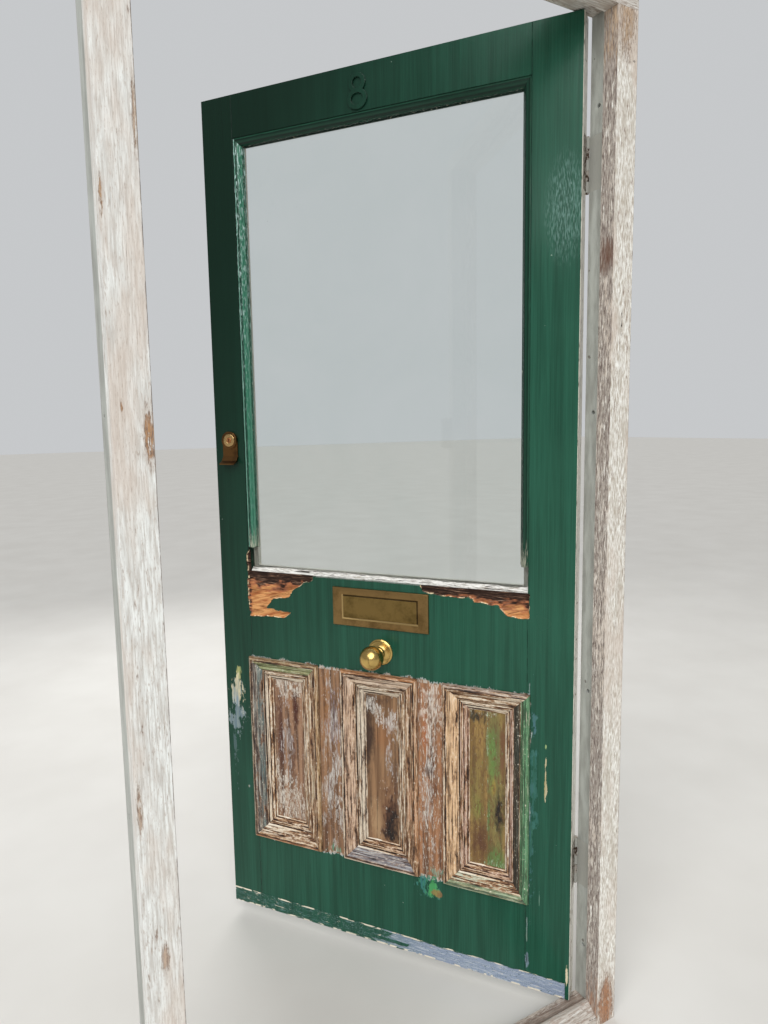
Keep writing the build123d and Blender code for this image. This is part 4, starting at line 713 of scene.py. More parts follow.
# %% Muntins
# In this cell and the next, m is the x of a board's middle line.
m = middle_of["muntin_left"]
give(stripped_board("muntin_left", tint(150, 114, 84), tint(70, 46, 34), [
    (LILAC, 0.50, 300.0, 12.0, ((m + 0.006, 0.56), (0.030, 0.20), 0.7)),
    (WHITE_GREY, 0.50, 380.0, 20.0, ((m, 0.47), (0.050, 0.34), 0.6)),
    (WHITE_GREY, 0.57, 400.0, 24.0, ((m, 0.36), (0.050, 0.14), 0.9)),
    (PALE_FLECK, 0.34, 420.0, 70.0, None),
    (SEA_GREEN, 0.52, 160.0, 30.0, ((m, 0.245), (0.05, 0.020), 0.9)),
], [(tint(150, 104, 62), (m - 0.012, 0.57), (0.010, 0.12), 0.7, 0.7),
    (tint(58, 40, 34), (m + 0.010, 0.60), (0.006, 0.05), 0.9, 0.7),
    (tint(66, 46, 38), (m - 0.004, 0.42), (0.005, 0.07), 0.9, 0.6)], LEAF_BACK), "muntin_left")
m = middle_of["muntin_right"]
give(stripped_board("muntin_right", tint(160, 114, 80), tint(62, 40, 30), [
    (tint(210, 194, 178), 0.60, 300.0, 26.0, ((m, 0.63), (0.05, 0.10), 0.8)),
    (WHITE_GREY, 0.56, 340.0, 30.0, ((m - 0.008, 0.47), (0.030, 0.26), 0.9)),
    (PALE_FLECK, 0.44, 380.0, 60.0, None),
    (tint(120, 160, 140), 0.60, 150.0, 30.0, ((m, 0.250), (0.05, 0.022), 0.9)),
], [(tint(172, 104, 62), (m - 0.014, 0.58), (0.008, 0.09), 0.7, 0.7),
    (tint(52, 36, 30), (m - 0.008, 0.50), (0.010, 0.030), 0.9, 0.8),
    (RED_BROWN, (m + 0.004, 0.45), (0.014, 0.05), 0.9, 0.5)], LEAF_BACK), "muntin_right")
print("muntins lie between the depths", LEAF_FRONT, "and", LEAF_BACK)

# %% Fields of the panels
m = middle_of["panel_left"]
give(stripped_board("field_left", tint(150, 116, 90), tint(66, 42, 32), [
    (tint(184, 176, 172), 0.58, 340.0, 18.0, ((m - 0.006, 0.50), (0.022, 0.17), 0.9)),
    (PALE_FLECK, 0.58, 420.0, 120.0, ((m, 0.335), (0.070, 0.100), 1.0)),
    (PALE_FLECK, 0.64, 380.0, 130.0, ((m, 0.635), (0.060, 0.030), 1.1)),
    (PALE_FLECK, 0.38, 420.0, 120.0, None),
], [(RED_BROWN, (m - 0.024, 0.52), (0.010, 0.12), 0.6, 0.85),
    (RED_BROWN, (m + 0.020, 0.57), (0.010, 0.07), 0.7, 1.0),
    (RED_BROWN, (m + 0.012, 0.45), (0.008, 0.09), 0.8, 0.7),
    (tint(150, 104, 64), (m, 0.59), (0.012, 0.03), 0.8, 0.6)],
    FIELD_BACK), "panel_left")
m = middle_of["panel_centre"]
give(stripped_board("field_centre", tint(148, 114, 82), tint(98, 70, 48), [
    (tint(214, 208, 198), 0.60, 380.0, 150.0, ((m - 0.014, 0.618), (0.034, 0.030), 1.3)),
    (tint(206, 200, 194), 0.58, 380.0, 80.0, ((m + 0.020, 0.585), (0.020, 0.060), 1.3)),
    (tint(190, 186, 184), 0.50, 380.0, 60.0, ((m + 0.018, 0.510), (0.014, 0.040), 1.3)),
    (PALE_FLECK, 0.36, 300.0, 130.0, ((m + 0.012, 0.42), (0.05, 0.25), 1.0)),
    (PALE_FLECK, 0.52, 320.0, 30.0, ((m + 0.040, 0.46), (0.006, 0.16), 0.9)),
], [(tint(150, 98, 58), (m + 0.002, 0.545), (0.022, 0.040), 0.5, 0.45),
    (tint(54, 37, 28), (m - 0.036, 0.55), (0.018, 0.13), 0.4, 0.95),
    (tint(74, 52, 38), (m - 0.004, 0.635), (0.036, 0.018), 0.9, 0.7),
    (tint(84, 62, 48), (m + 0.034, 0.45), (0.008, 0.12), 0.6, 0.6),
    (tint(176, 146, 110), (m - 0.014, 0.33), (0.018, 0.05), 0.7, 0.6),
    (tint(92, 56, 38), (m + 0.018, 0.345), (0.024, 0.085), 0.6, 0.9),
    (CHAR, (m + 0.024, 0.330), (0.020, 0.070), 0.6, 1.0)], FIELD_BACK), "panel_centre")
m = middle_of["panel_right"]
give(stripped_board("field_right", tint(146, 118, 68), tint(100, 76, 42), [
    (tint(160, 184, 146), 0.54, 380.0, 90.0, ((m, 0.46), (0.0026, 0.26), 0.9)),
    (tint(206, 204, 186), 0.46, 260.0, 100.0, ((m, 0.645), (0.07, 0.016), 0.9)),
    (tint(158, 182, 150), 0.50, 360.0, 140.0, ((m, 0.290), (0.07, 0.018), 0.9)),
    (PALE_FLECK, 0.34, 420.0, 160.0, None),
    (tint(108, 76, 44), 0.46, 230.0, 70.0, None),
    (tint(106, 134, 72), 0.44, 200.0, 60.0, ((m + 0.014, 0.52), (0.026, 0.10), 0.6)),
], [(tint(110, 108, 64), (m + 0.020, 0.47), (0.022, 0.26), 0.15, 0.75),
    (tint(92, 96, 58), (m + 0.014, 0.57), (0.018, 0.085), 0.2, 0.75),
    (tint(108, 106, 58), (m - 0.026, 0.455), (0.020, 0.09), 0.2, 0.5),
    (tint(168, 128, 56), (m + 0.014, 0.478), (0.007, 0.026), 0.4, 0.6),
    (tint(92, 132, 64), (m + 0.010, 0.530), (0.009, 0.075), 0.4, 0.6),
    (tint(112, 122, 58), (m - 0.022, 0.425), (0.014, 0.035), 0.4, 0.6),
    (tint(74, 52, 36), (m - 0.030, 0.50), (0.005, 0.12), 0.5, 0.6),
    (tint(40, 40, 32), (m - 0.020, 0.632), (0.018, 0.016), 0.6, 1.0),
    (tint(84, 54, 38), (m - 0.014, 0.345), (0.030, 0.055), 0.4, 0.9),
    (tint(104, 62, 46), (m + 0.034, 0.56), (0.006, 0.08), 0.6, 0.7),
    (CHAR, (m + 0.026, 0.43), (0.013, 0.055), 0.6, 1.0),
    (tint(82, 116, 62), (m + 0.020, 0.300), (0.024, 0.040), 0.3, 0.8),
    (tint(76, 118, 66), (m + 0.003, 0.40), (0.004, 0.10), 0.5, 0.6)], FIELD_BACK), "panel_right")
give(stripped_board("wedge_ends", tint(150, 118, 88), tint(84, 62, 46), [(GREEN, 0.6, 80.0, 80.0, None)]),
     "tenon_wedges")
print("fields start at a depth of", round(float(FIELD_BACK), 4))

# %% [markdown]
# ## Shapes from arrays
# A worn moulding is a profile carried along a line, and a rotted pocket is a height over a grid.
# Both are worked out as whole numpy arrays. Value noise gives the wear: random heights on a
# lattice, blended smoothly between the lattice points, with finer lattices added on top.

# %% Value noise
def wear(u, v, seed, octaves=3):
    """Value noise from -1 to 1: lattice heights blended by 3t^2 - 2t^3, finer octaves at half strength."""
    total, reach, strength = 0.0, 0.0, 1.0
    for octave in range(octaves):
        table = np.random.default_rng(seed + octave).uniform(-1, 1, (64, 64))
        i, j = np.floor(u).astype(int), np.floor(v).astype(int)
        s, t = u - i, v - j
        s, t = s * s * (3 - 2 * s), t * t * (3 - 2 * t)
        low = table[i % 64, j % 64] * (1 - s) + table[(i + 1) % 64, j % 64] * s
        high = table[i % 64, (j + 1) % 64] * (1 - s) + table[(i + 1) % 64, (j + 1) % 64] * s
        total = total + strength * (low * (1 - t) + high * t)
        reach += strength
        strength *= 0.5
        u, v = u * 2.03 + 17.0, v * 2.03 + 5.0
    return total / reach


print("noise sample", round(float(wear(np.array(0.5), np.array(0.5), 1)), 3))

# %% Making a piece
def outwards(points, faces):
    """Reverses the faces if the volume that they enclose comes out negative."""
    volume = 0.0
    for group in faces:
        first = points[group[:, 0]]
        for k in range(1, group.shape[1] - 1):
            crossed = np.cross(points[group[:, k]], points[group[:, k + 1]])
            volume += np.einsum("ij,ij->i", first, crossed).sum()
    return faces if volume > 0 else [group[:, ::-1] for group in faces]


def make_piece(name, points, faces, material, body, replaced=(), values=None, sharp=40.0):
    """Puts points and groups of faces into a mesh that rides on a body and takes a finish."""
    faces = outwards(points, faces)
    mesh = bpy.data.meshes.new(name)
    mesh.from_pydata(points.tolist(), [], [face for group in faces for face in group.tolist()])
    mesh.polygons.foreach_set("use_smooth", np.ones(len(mesh.polygons), bool))
    mesh.set_sharp_from_angle(angle=math.radians(sharp))
    for label, value in (values or {}).items():
        attribute = mesh.attributes.new(label, "FLOAT", "POINT")
        attribute.data.foreach_set("value", value.astype(np.float32).ravel())
    mesh.materials.append(material)
    mesh.validate()
    piece = placed(name, mesh)
    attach(piece, body)
    if replaced:
        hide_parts(*replaced)
    print(name, len(mesh.polygons), "faces")


def carried(rings):
    """Faces of a closed profile carried along a path: quads between rings, and a flat face at each end."""
    count, around = rings.shape[:2]
    index = np.arange(count * around).reshape(count, around)
    following = np.roll(index, -1, axis=1)
    sides = np.stack([index[:-1], following[:-1], following[1:], index[1:]], -1).reshape(-1, 4)
    return [sides, index[:1, ::-1], index[-1:]]


def join(shapes):
    """One list of points and face groups from several."""
    points, groups, start = [], [], 0
    for shape_points, shape_faces in shapes:
        shape_faces = outwards(shape_points, shape_faces)
        points.append(shape_points)
        groups += [group + start for group in shape_faces]
        start += len(shape_points)
    return np.concatenate(points), groups


print("a square carried one step has", sum(map(len, carried(np.zeros((2, 4, 3))))), "faces")

# %% Arcs in a profile
def bow(start, end, radius, outward, count=7):
    """Arc between two points of a profile, (across, y); outward arcs swell towards the outside, -y."""
    start, end = np.array(start, float), np.array(end, float)
    chord = end - start
    length = np.hypot(*chord)
    normal = np.array([chord[1], -chord[0]]) / length
    if (normal[1] < 0) != outward:
        normal = -normal
    radius = max(radius, length / 2)
    rise = math.sqrt(radius ** 2 - length ** 2 / 4)
    centre = (start + end) / 2 - normal * rise
    first = math.atan2(*(start - centre)[::-1])
    turn = (math.atan2(*(end - centre)[::-1]) - first + math.pi) % (2 * math.pi) - math.pi
    angles = first + turn * np.linspace(0, 1, count)[1:]
    return centre + radius * np.stack([np.cos(angles), np.sin(angles)], -1)


def along_profile(profile):
    """Distance run along a profile at each of its points."""
    return np.concatenate([[0], np.cumsum(np.hypot(*np.diff(profile, axis=0).T))])


print("a quarter round in 6 runs is", along_profile(bow((0, 0), (1, 1), 1, True)).round(2)[-1], "long")

# %% [markdown]
# ## Mouldings round the panels
# Each panel is held by four mitred lengths of a bolection: a moulding that stands proud of the
# framing and steps down to the field. Its section is a nosing, a hollow, an ovolo, a bead and a
# slope. The lengths are closed solids of their own, with a hair of a gap at the mitres, and wear
# rounds and dents them. Each point carries how far round the section it lies, how far along, and
# which side of the panel it is on, so the paint can follow the mouldings' own lines.

# %% Section of the bolection
MM = 0.001
FIELD_Y = closed_box("panel_left")[0][1]
BOLECTION_TOP = closed_box("panel_left_moulding")[0][1]


def dense(profile, step):
    """The same outline with points added so that none is further than a step from the next."""
    pieces = [profile[:1]]
    for start, end in zip(profile[:-1], profile[1:]):
        count = max(1, int(np.ceil(np.hypot(*(end - start)) / step)))
        pieces.append(start + (end - start) * (np.arange(1, count + 1) / count)[:, None])
    return np.concatenate(pieces)


def bolection_profile():
    """(across, y) of the seen face, from the outer foot on the framing to the foot on the field."""
    face, crest = LEAF_FRONT, BOLECTION_TOP
    nosing, crown, quirk = (0, (face + crest) / 2), (7 * MM, crest), (13 * MM, crest + 2 * MM)
    hollow, step_top = (23 * MM, face - 1 * MM), (35 * MM, face + 4 * MM)
    step_foot, bead_end = (36 * MM, face + 7 * MM), (45 * MM, face + 8 * MM)
    arris, foot = (55 * MM, FIELD_Y - 2 * MM), (57 * MM, FIELD_Y)
    points = [[(0, face), nosing], bow(nosing, crown, 7 * MM, True), [quirk],
              bow(quirk, hollow, 16 * MM, False), bow(hollow, step_top, 16.2 * MM, True), [step_foot],
              bow(step_foot, bead_end, 5.85 * MM, True), [arris, foot]]
    return dense(np.concatenate([np.array(part, float).reshape(-1, 2) for part in points]), 1.6 * MM)


print("points in the section", len(bolection_profile()))

# %% Mitred lengths
MITRE_GAP = 0.25 * MM


def bolection_lengths(low, high, seed):
    """Four mitred lengths in the box (x, z) low to high, with their section, run and side values."""
    profile = bolection_profile()
    section = along_profile(profile)
    back = np.array([[7.3 * MM, FIELD_Y], [7.3 * MM, LEAF_FRONT]])
    loop = np.concatenate([profile, back])
    inset, depth = loop[:, 0], loop[:, 1]
    seen = np.concatenate([np.ones(len(profile)), [0, 0]])
    measure = np.concatenate([section / section[-1], [1, 0]])
    shapes, values = [], {"section": [], "run": [], "side": []}
    for side in range(4):
        upright = side % 2 == 0
        length = (high - low)[1 if upright else 0]
        t = np.linspace(0, 1, int(length / (2.5 * MM)))[:, None]
        run = (inset + MITRE_GAP) + t * (length - 2 * inset - 2 * MITRE_GAP)
        dent = wear(run / 0.03, measure * 9.0 + side * 11, seed + side, 4)
        fine = wear(run / 0.007, measure * 34.0, seed + side + 40, 2)
        sunk = seen * (0.35 * MM * (dent - 0.2) + 0.18 * MM * fine)
        held = np.clip(t * length / (4 * MM), 0, 1) * np.clip((1 - t) * length / (4 * MM), 0, 1)
        y = np.maximum(depth + sunk * held, BOLECTION_TOP)
        across = inset + 0.25 * MM * seen * dent * held * (measure > 0.02)
        if upright:
            x = low[0] + across if side == 0 else high[0] - across
            z = low[1] + run
        else:
            x = low[0] + run
            z = high[1] - across if side == 1 else low[1] + across
        rings = np.stack(np.broadcast_arrays(x, y, z), -1)
        shapes.append((rings.reshape(-1, 3), carried(rings)))
        values["section"].append(np.broadcast_to(measure, y.shape).ravel())
        values["run"].append(run.ravel())
        values["side"].append(np.full(y.size, float(side)))
    points, faces = join(shapes)
    return points, faces, {label: np.concatenate(parts) for label, parts in values.items()}


print("each length stops short of its mitre by", MITRE_GAP / MM, "mm")

# %% Paint on the mouldings
# The section value is 0 at the outer foot and 1 on the field. Each ridge is pale, from wear and a
# painted highlight, and each hollow is dark, from dirt and painted shade: LEVELS says how pale, and
# streaks along the length push it either way before a ramp turns it into a colour, from near black
# through bare wood to scraps of cream.
LEVELS = [(0.0, 0.10), (0.02, 0.50), (0.06, 0.74), (0.10, 0.40), (0.14, 0.78), (0.18, 0.60), (0.215, 0.06),
          (0.25, 0.56), (0.31, 0.38), (0.37, 0.62), (0.43, 0.44), (0.50, 0.72), (0.57, 0.40), (0.62, 0.80),
          (0.645, 0.05), (0.68, 0.10), (0.705, 0.88), (0.74, 0.44), (0.78, 0.80), (0.81, 0.08), (0.85, 0.55),
          (0.89, 0.82), (0.92, 0.16), (0.95, 0.55), (0.975, 0.90), (1.0, 0.15)]
WEAR_AND_SHADE = [(0.0, tint(30, 20, 15)), (0.20, tint(72, 47, 33)), (0.40, tint(122, 86, 58)),
        (0.56, tint(158, 122, 88)), (0.70, tint(194, 170, 140)), (0.84, tint(218, 204, 182)),
        (1.0, tint(230, 222, 206))]


def moulding_finish(name, coats):
    """Streaky worn paint; coats are (side, from, to, cover, colour) along the section."""
    material, tree, shader = new_finish(name)
    section, run, side = (value_of(tree, label) for label in ("section", "run", "side"))
    drawn = add(tree, "ShaderNodeCombineXYZ", {0: section, 1: run, 2: side}).outputs[0]
    broad = strands(tree, drawn, 4, 9, 7, 3.0, 0.6)
    streaks = strands(tree, drawn, 13, 22, 9, 5.0, 0.70)
    lines = strands(tree, drawn, 30, 34, 5, 4.0, 0.66)
    chips = strands(tree, drawn, 24, 120, 9, 4.0, 0.68)
    moved = plus(tree, section, swing_of(tree, streaks, 0.05))
    level = bands(tree, moved, [(position, (grey, grey, grey, 1)) for position, grey in LEVELS])
    seams = strands(tree, drawn, 36, 10, 5, 3.0, 0.5)
    worn = level
    for pattern, strength in ((broad, 0.9), (streaks, 2.0), (lines, 1.1), (seams, 1.7)):
        worn = plus(tree, worn, swing_of(tree, pattern, strength))
    worn = plus(tree, worn, plus(tree, swing_of(tree, chips, 0.9), -0.05), clamped=True)
    colour = bands(tree, worn, WEAR_AND_SHADE)
    ragged = plus(tree, swing_of(tree, streaks, 1.0), swing_of(tree, chips, 0.5))
    ragged = plus(tree, ragged, swing_of(tree, broad, 0.8))
    for which, start, end, cover, tone in coats:
        inside_band = both(tree, spread(tree, moved, start - 0.02, start + 0.02),
                           spread(tree, moved, end + 0.02, end - 0.02))
        threshold = 0.34 - 0.68 * cover
        kept = spread(tree, ragged, threshold - 0.05, threshold + 0.05)
        here = add(tree, "ShaderNodeMath", {0: side, 1: float(which), 2: 0.4}, operation="COMPARE").outputs[0]
        mask = both(tree, both(tree, inside_band, kept), here)
        # Coats darken where the section is low: dirt with painted shade in the hollows.
        shaded = lay(tree, spread(tree, worn, 0.15, 0.65), lay(tree, 0.55, tone, tint(40, 32, 28)), tone)
        low, high = (0.82, 1.0) if cover > 0.9 else (0.40, 0.78)
        colour = lay(tree, times(tree, mask, spread(tree, seams, 0.40, 0.60, low, high)), colour, shaded)
    colour = lay(tree, times(tree, spread(tree, seams, 0.36, 0.30), 0.85), colour, tint(52, 35, 27))
    colour = lay(tree, times(tree, spread(tree, seams, 0.64, 0.70), 0.8), colour, tint(220, 208, 188))
    colour = lay(tree, both(tree, spread(tree, chips, 0.60, 0.64), spread(tree, streaks, 0.48, 0.54)),
                 colour, tint(222, 212, 194))
    height = plus(tree, streaks, times(tree, chips, 0.7))
    height = plus(tree, height, times(tree, lines, 0.6))
    settle(tree, shader, colour, spread(tree, worn, 0.2, 0.8, 0.88, 0.6), height, 0.0011, 0.0006)
    return material


print("bands of wear across a section", len(LEVELS))

# %% Bolections with their coats
PEACH, ROSY, IVORY = tint(222, 184, 142), tint(204, 174, 150), tint(216, 204, 184)
ORANGE_BROWN, TEAL, PALE_GREEN = tint(176, 116, 68), tint(48, 84, 86), tint(126, 152, 102)
coats = {
    "left": [(0, 0.02, 0.20, 0.66, tint(98, 100, 90)), (0, 0.24, 0.62, 0.66, tint(104, 116, 118)),
             (0, 0.40, 0.62, 0.52, TEAL), (0, 0.70, 0.80, 0.70, IVORY),
             (1, 0.05, 0.20, 0.6, tint(116, 102, 68)), (1, 0.24, 0.56, 0.88, PALE_GREEN),
             (1, 0.80, 0.97, 0.6, IVORY), (2, 0.03, 0.19, 0.62, tint(172, 140, 96)),
             (2, 0.24, 0.60, 0.42, tint(150, 134, 108)), (3, 0.02, 0.20, 0.86, ORANGE_BROWN),
             (3, 0.30, 0.60, 0.5, IVORY), (3, 0.70, 0.95, 0.42, IVORY)],
    "centre": [(0, 0.03, 0.19, 0.66, IVORY), (0, 0.24, 0.60, 0.66, ROSY), (0, 0.70, 0.98, 0.62, IVORY),
               (1, 0.02, 0.20, 0.72, ORANGE_BROWN), (1, 0.24, 0.60, 0.66, tint(214, 192, 170)),
               (1, 0.70, 0.96, 0.55, IVORY), (2, 0.04, 0.20, 0.46, ORANGE_BROWN),
               (2, 0.26, 0.60, 0.40, tint(168, 112, 74)), (2, 0.70, 0.96, 0.35, IVORY),
               (3, 0.24, 0.60, 0.70, tint(132, 142, 154)), (3, 0.02, 0.19, 0.62, IVORY),
               (3, 0.70, 0.95, 0.40, ROSY)],
    "right": [(0, 0.03, 0.19, 0.50, IVORY), (0, 0.24, 0.62, 0.74, PEACH),
              (0, 0.70, 0.98, 0.50, tint(170, 132, 116)), (1, 0.02, 0.20, 0.62, tint(160, 150, 144)),
              (1, 0.26, 0.60, 0.42, IVORY), (1, 0.72, 0.96, 0.5, IVORY),
              (2, 0.00, 0.42, 0.97, tint(66, 112, 78)), (2, 0.06, 0.28, 0.62, tint(96, 146, 106)),
              (2, 0.44, 0.64, 0.97, tint(34, 40, 32)), (2, 0.70, 0.82, 0.66, tint(156, 126, 118)),
              (2, 0.92, 0.99, 0.6, IVORY), (3, 0.02, 0.34, 0.72, tint(112, 150, 118)),
              (3, 0.34, 0.60, 0.45, tint(160, 176, 156)), (3, 0.70, 0.96, 0.50, tint(182, 148, 128))],
}
for seed, word in enumerate(("left", "centre", "right")):
    low, high = closed_box(f"panel_{word}_moulding")
    points, faces, values = bolection_lengths(low[[0, 2]], high[[0, 2]], 10 * seed + 3)
    finish = moulding_finish(f"moulding_{word}", coats[word])
    make_piece(f"bolection_{word}", stand_open(points), faces, finish, "leaf",
               [f"panel_{word}_moulding"], values)

# %% [markdown]
# ## Rot in the lock rail
# Water has run down the pane and rotted the rail's upper corners. The solid rail has plain
# pockets there. A bed of torn fibres fills each one: its depth is a height over a grid, ridged
# along the grain, which climbs to the face at a ragged rim, so the painted edge looks broken by
# hand. Near the pane the wood is black and soft, further down it is fresh and orange.

# %% Slab over a grid
def slab(x, z, front, back, kept):
    """Closed slab from two depths over a grid; kept marks its cells, and walls close their border."""
    rows, columns = front.shape
    points = np.concatenate([np.stack([x, y, z], -1).reshape(-1, 3) for y in (front, back)])
    index = np.arange(rows * columns).reshape(rows, columns)
    a, b, c, d = index[:-1, :-1], index[:-1, 1:], index[1:, 1:], index[1:, :-1]
    faces = np.stack([a, b, c, d], -1)[kept]
    around = np.pad(kept, 1)
    alone = [kept & ~beside for beside in (around[:-2, 1:-1], around[1:-1, 2:], around[2:, 1:-1],
                                           around[1:-1, :-2])]
    other = rows * columns
    walls = [np.stack([q[no], p[no], p[no] + other, q[no] + other], -1)
             for (p, q), no in zip(((a, b), (b, c), (c, d), (d, a)), alone)]
    groups = np.concatenate([faces, faces[:, ::-1] + other] + walls)
    used, numbers = np.unique(groups, return_inverse=True)
    return points[used], [numbers.reshape(groups.shape)], used % other


def inside(x, z, outline):
    """Whether each point lies in a closed outline, by counting the edges that a level line crosses."""
    crossed = np.zeros(x.shape, bool)
    for (x0, z0), (x1, z1) in zip(outline, np.roll(outline, -1, axis=0)):
        crossed ^= ((z0 > z) != (z1 > z)) & (x < x0 + (x1 - x0) * (z - z0) / ((z1 - z0) or 1e-12))
    return crossed


def distance_to(x, z, line):
    """Distance from each point to an open line of straight runs."""
    nearest = np.full(x.shape, 1.0)
    for (x0, z0), (x1, z1) in zip(line[:-1], line[1:]):
        run = np.array([x1 - x0, z1 - z0])
        t = np.clip(((x - x0) * run[0] + (z - z0) * run[1]) / (run @ run), 0, 1)
        nearest = np.minimum(nearest, np.hypot(x - x0 - t * run[0], z - z0 - t * run[1]))
    return nearest


square = np.array([(0, 0), (1, 0), (1, 1), (0, 1)])
print("the middle of a square is inside:", bool(inside(np.array(0.5), np.array(0.5), square)))

# %% Rotted beds
# Corners of the pockets as the distance in from the nearer edge of the leaf and the rise above
# the rail, as they were cut in the solids. The walls are all their runs but the open top.
ROT_LATCH = [(82, 57), (75, 41), (75, -64), (80, -111), (179, -107), (197, -92), (131, -85), (147, -63),
             (192, -56), (213, -31), (262, -8), (262, 1)]
ROT_HINGE = [(337, 1), (328, -12), (315, -19), (215, -20), (211, -27), (160, -31), (139, -50), (115, -53),
             (92, -53), (92, 1)]
POCKET_DEPTH = 0.0108
GRID = 0.0012
TERRACE = 0.0012
print("pocket", 1000 * POCKET_DEPTH, "mm deep, on a grid of", 1000 * GRID, "mm")


def rot_bed(side, corners, seed):
    """Torn fibres in one pocket: a ragged rim at the face, and ridged steps down to the sound wood."""
    walls = np.array([(side * (LEAF_EDGE - inset * MM), RAIL_TOP + rise * MM) for inset, rise in corners])
    closing = walls if side > 0 else np.vstack([walls, [(-LEAF_EDGE + 82 * MM, RAIL_TOP + 1 * MM)]])
    low, high = closing.min(axis=0) - 0.002, closing.max(axis=0) + 0.002
    x, z = np.meshgrid(np.arange(low[0], high[0], GRID), np.arange(low[1], high[1], GRID))
    reach = distance_to(x, z, walls)
    room = np.where(inside(x, z, closing), reach, -reach)
    ragged = 0.0016 + 0.0044 * wear(x / 0.016, z / 0.008, seed, 5)
    torn_edge = np.clip((room - np.maximum(ragged, 0)) / 0.0022, 0, 1)
    fibres = wear(x / 0.045, z / 0.0035, seed + 7, 4)
    lumps = wear(x / 0.024, z / 0.013, seed + 20, 3)
    below = (RAIL_TOP - z) / 0.05
    depth = 0.0048 + 0.0022 * fibres + 0.0026 * lumps + 0.0026 * np.clip(1 - below, 0, 1)
    terrace = TERRACE * np.round(depth / TERRACE)
    depth = np.clip(0.55 * depth + 0.45 * terrace, TERRACE, POCKET_DEPTH)
    front = LEAF_FRONT + 0.00004 + torn_edge ** 0.7 * depth
    kept = (room > -0.0006)[:-1, :-1] & (room > -0.0006)[1:, 1:] & (z < RAIL_TOP + 0.0605)[:-1, :-1]
    points, faces, used = slab(x, z, front, np.full(x.shape, LEAF_FRONT + POCKET_DEPTH + 0.0002), kept)
    rot = np.clip(1.15 - below * 1.1 + 0.5 * wear(x / 0.02, z / 0.008, seed + 30, 3), 0, 1)
    if side < 0:
        rot = np.maximum(rot * (x < -0.17), np.clip((-0.343 - x) / 0.008, 0, 1) * (0.5 + 0.5 * fibres))
    else:
        rot = np.clip(rot - 0.10, 0, 1)
    # How deep the bed lies, kept so that the finish can paint shade into the hollows.
    deep = torn_edge * depth / POCKET_DEPTH
    values = {"bare": torn_edge, "rot": rot, "deep": deep}
    return points, faces, {label: value.ravel()[used] for label, value in values.items()}


# %% Rotted and torn wood
rotted, tree, shader = new_finish("rotted_wood")
place = leaf_place(tree)
colour, _, height = gloss_coat(tree, place)
bare, rot, deep = (value_of(tree, label) for label in ("bare", "rot", "deep"))
slanted = add(tree, "ShaderNodeMapping", {"Vector": place, "Rotation": (0, math.radians(108), 0)}).outputs[0]
wood = use(tree, grain, Place=slanted, Pale=tint(208, 152, 98), Dark=tint(150, 82, 44), Rings=160.0)
threads = strands(tree, place, 30, 30, 620, 4.0, 0.6)
decay = plus(tree, rot, swing_of(tree, threads, 0.9), clamped=True)
sound = lay(tree, spread(tree, decay, 0.22, 0.48), wood["Colour"], tint(166, 104, 72))
dead = bands(tree, threads, [(0.36, tint(20, 14, 12)), (0.51, tint(50, 33, 26)), (0.60, tint(106, 78, 62)),
                             (0.70, tint(182, 152, 128))])
inner_wood = lay(tree, spread(tree, decay, 0.45, 0.62), sound, dead)
# Painted shade: the deeper parts of each pocket are darkened, as shade in the hollows.
inner_wood = lay(tree, spread(tree, deep, 0.38, 0.85, 0.0, 0.75), inner_wood, tint(36, 22, 16))
rim = both(tree, spread(tree, bare, 0.02, 0.10), spread(tree, bare, 0.62, 0.30))
rim = both(tree, rim, spread(tree, noise(tree, place, 70.0, 3.0, 0.6), 0.46, 0.56))
colour = lay(tree, spread(tree, bare, 0.02, 0.12), colour, inner_wood)
colour = lay(tree, rim, colour, tint(226, 204, 166))
height = plus(tree, height, times(tree, times(tree, threads, 3.0), bare))
settle(tree, shader, colour, spread(tree, bare, 0.0, 0.15, 0.28, 0.88), height, 0.0006, 0.0004, GLOSS_MIRROR)
for name, side, corners, seed in (("rot_latch_corner", -1, ROT_LATCH, 60),
                                  ("rot_hinge_corner", 1, ROT_HINGE, 90)):
    points, faces, values = rot_bed(side, corners, seed)
    make_piece(name, stand_open(points), faces, rotted, "leaf", values=values, sharp=60)

# %% [markdown]
# ## Mouldings and putty round the pane
# The pane is held outside by an ovolo moulding on three sides. Its two uprights end raggedly
# above the rotted corners, and along the foot only a cracked bed of old putty is left, with
# white flakes and dark slits. Profiles carried along the edges make them, with torn ends. The
# latch side is painted lighter, as a painted highlight with pale streaks, and the other sides are
# painted darker, as painted shade.

# %% Ovolo lengths with torn ends
GLASS_Y = closed_box("glass")[0][1]
pane_low, pane_high = closed_box("glazing_moulding_top")
OVOLO = 20 * MM


def ovolo_profile():
    """(across, y) from the opening's edge: a fillet, a quarter round and a small step to the glass."""
    front = LEAF_FRONT + 2 * MM
    seen = [[(0, front), (3 * MM, front)],
            bow((3 * MM, front), (18 * MM, front + 15 * MM), 15 * MM, True, 10),
            [(OVOLO, front + 15 * MM), (OVOLO, GLASS_Y)]]
    return dense(np.concatenate([np.array(part, float).reshape(-1, 2) for part in seen]), 2 * MM)


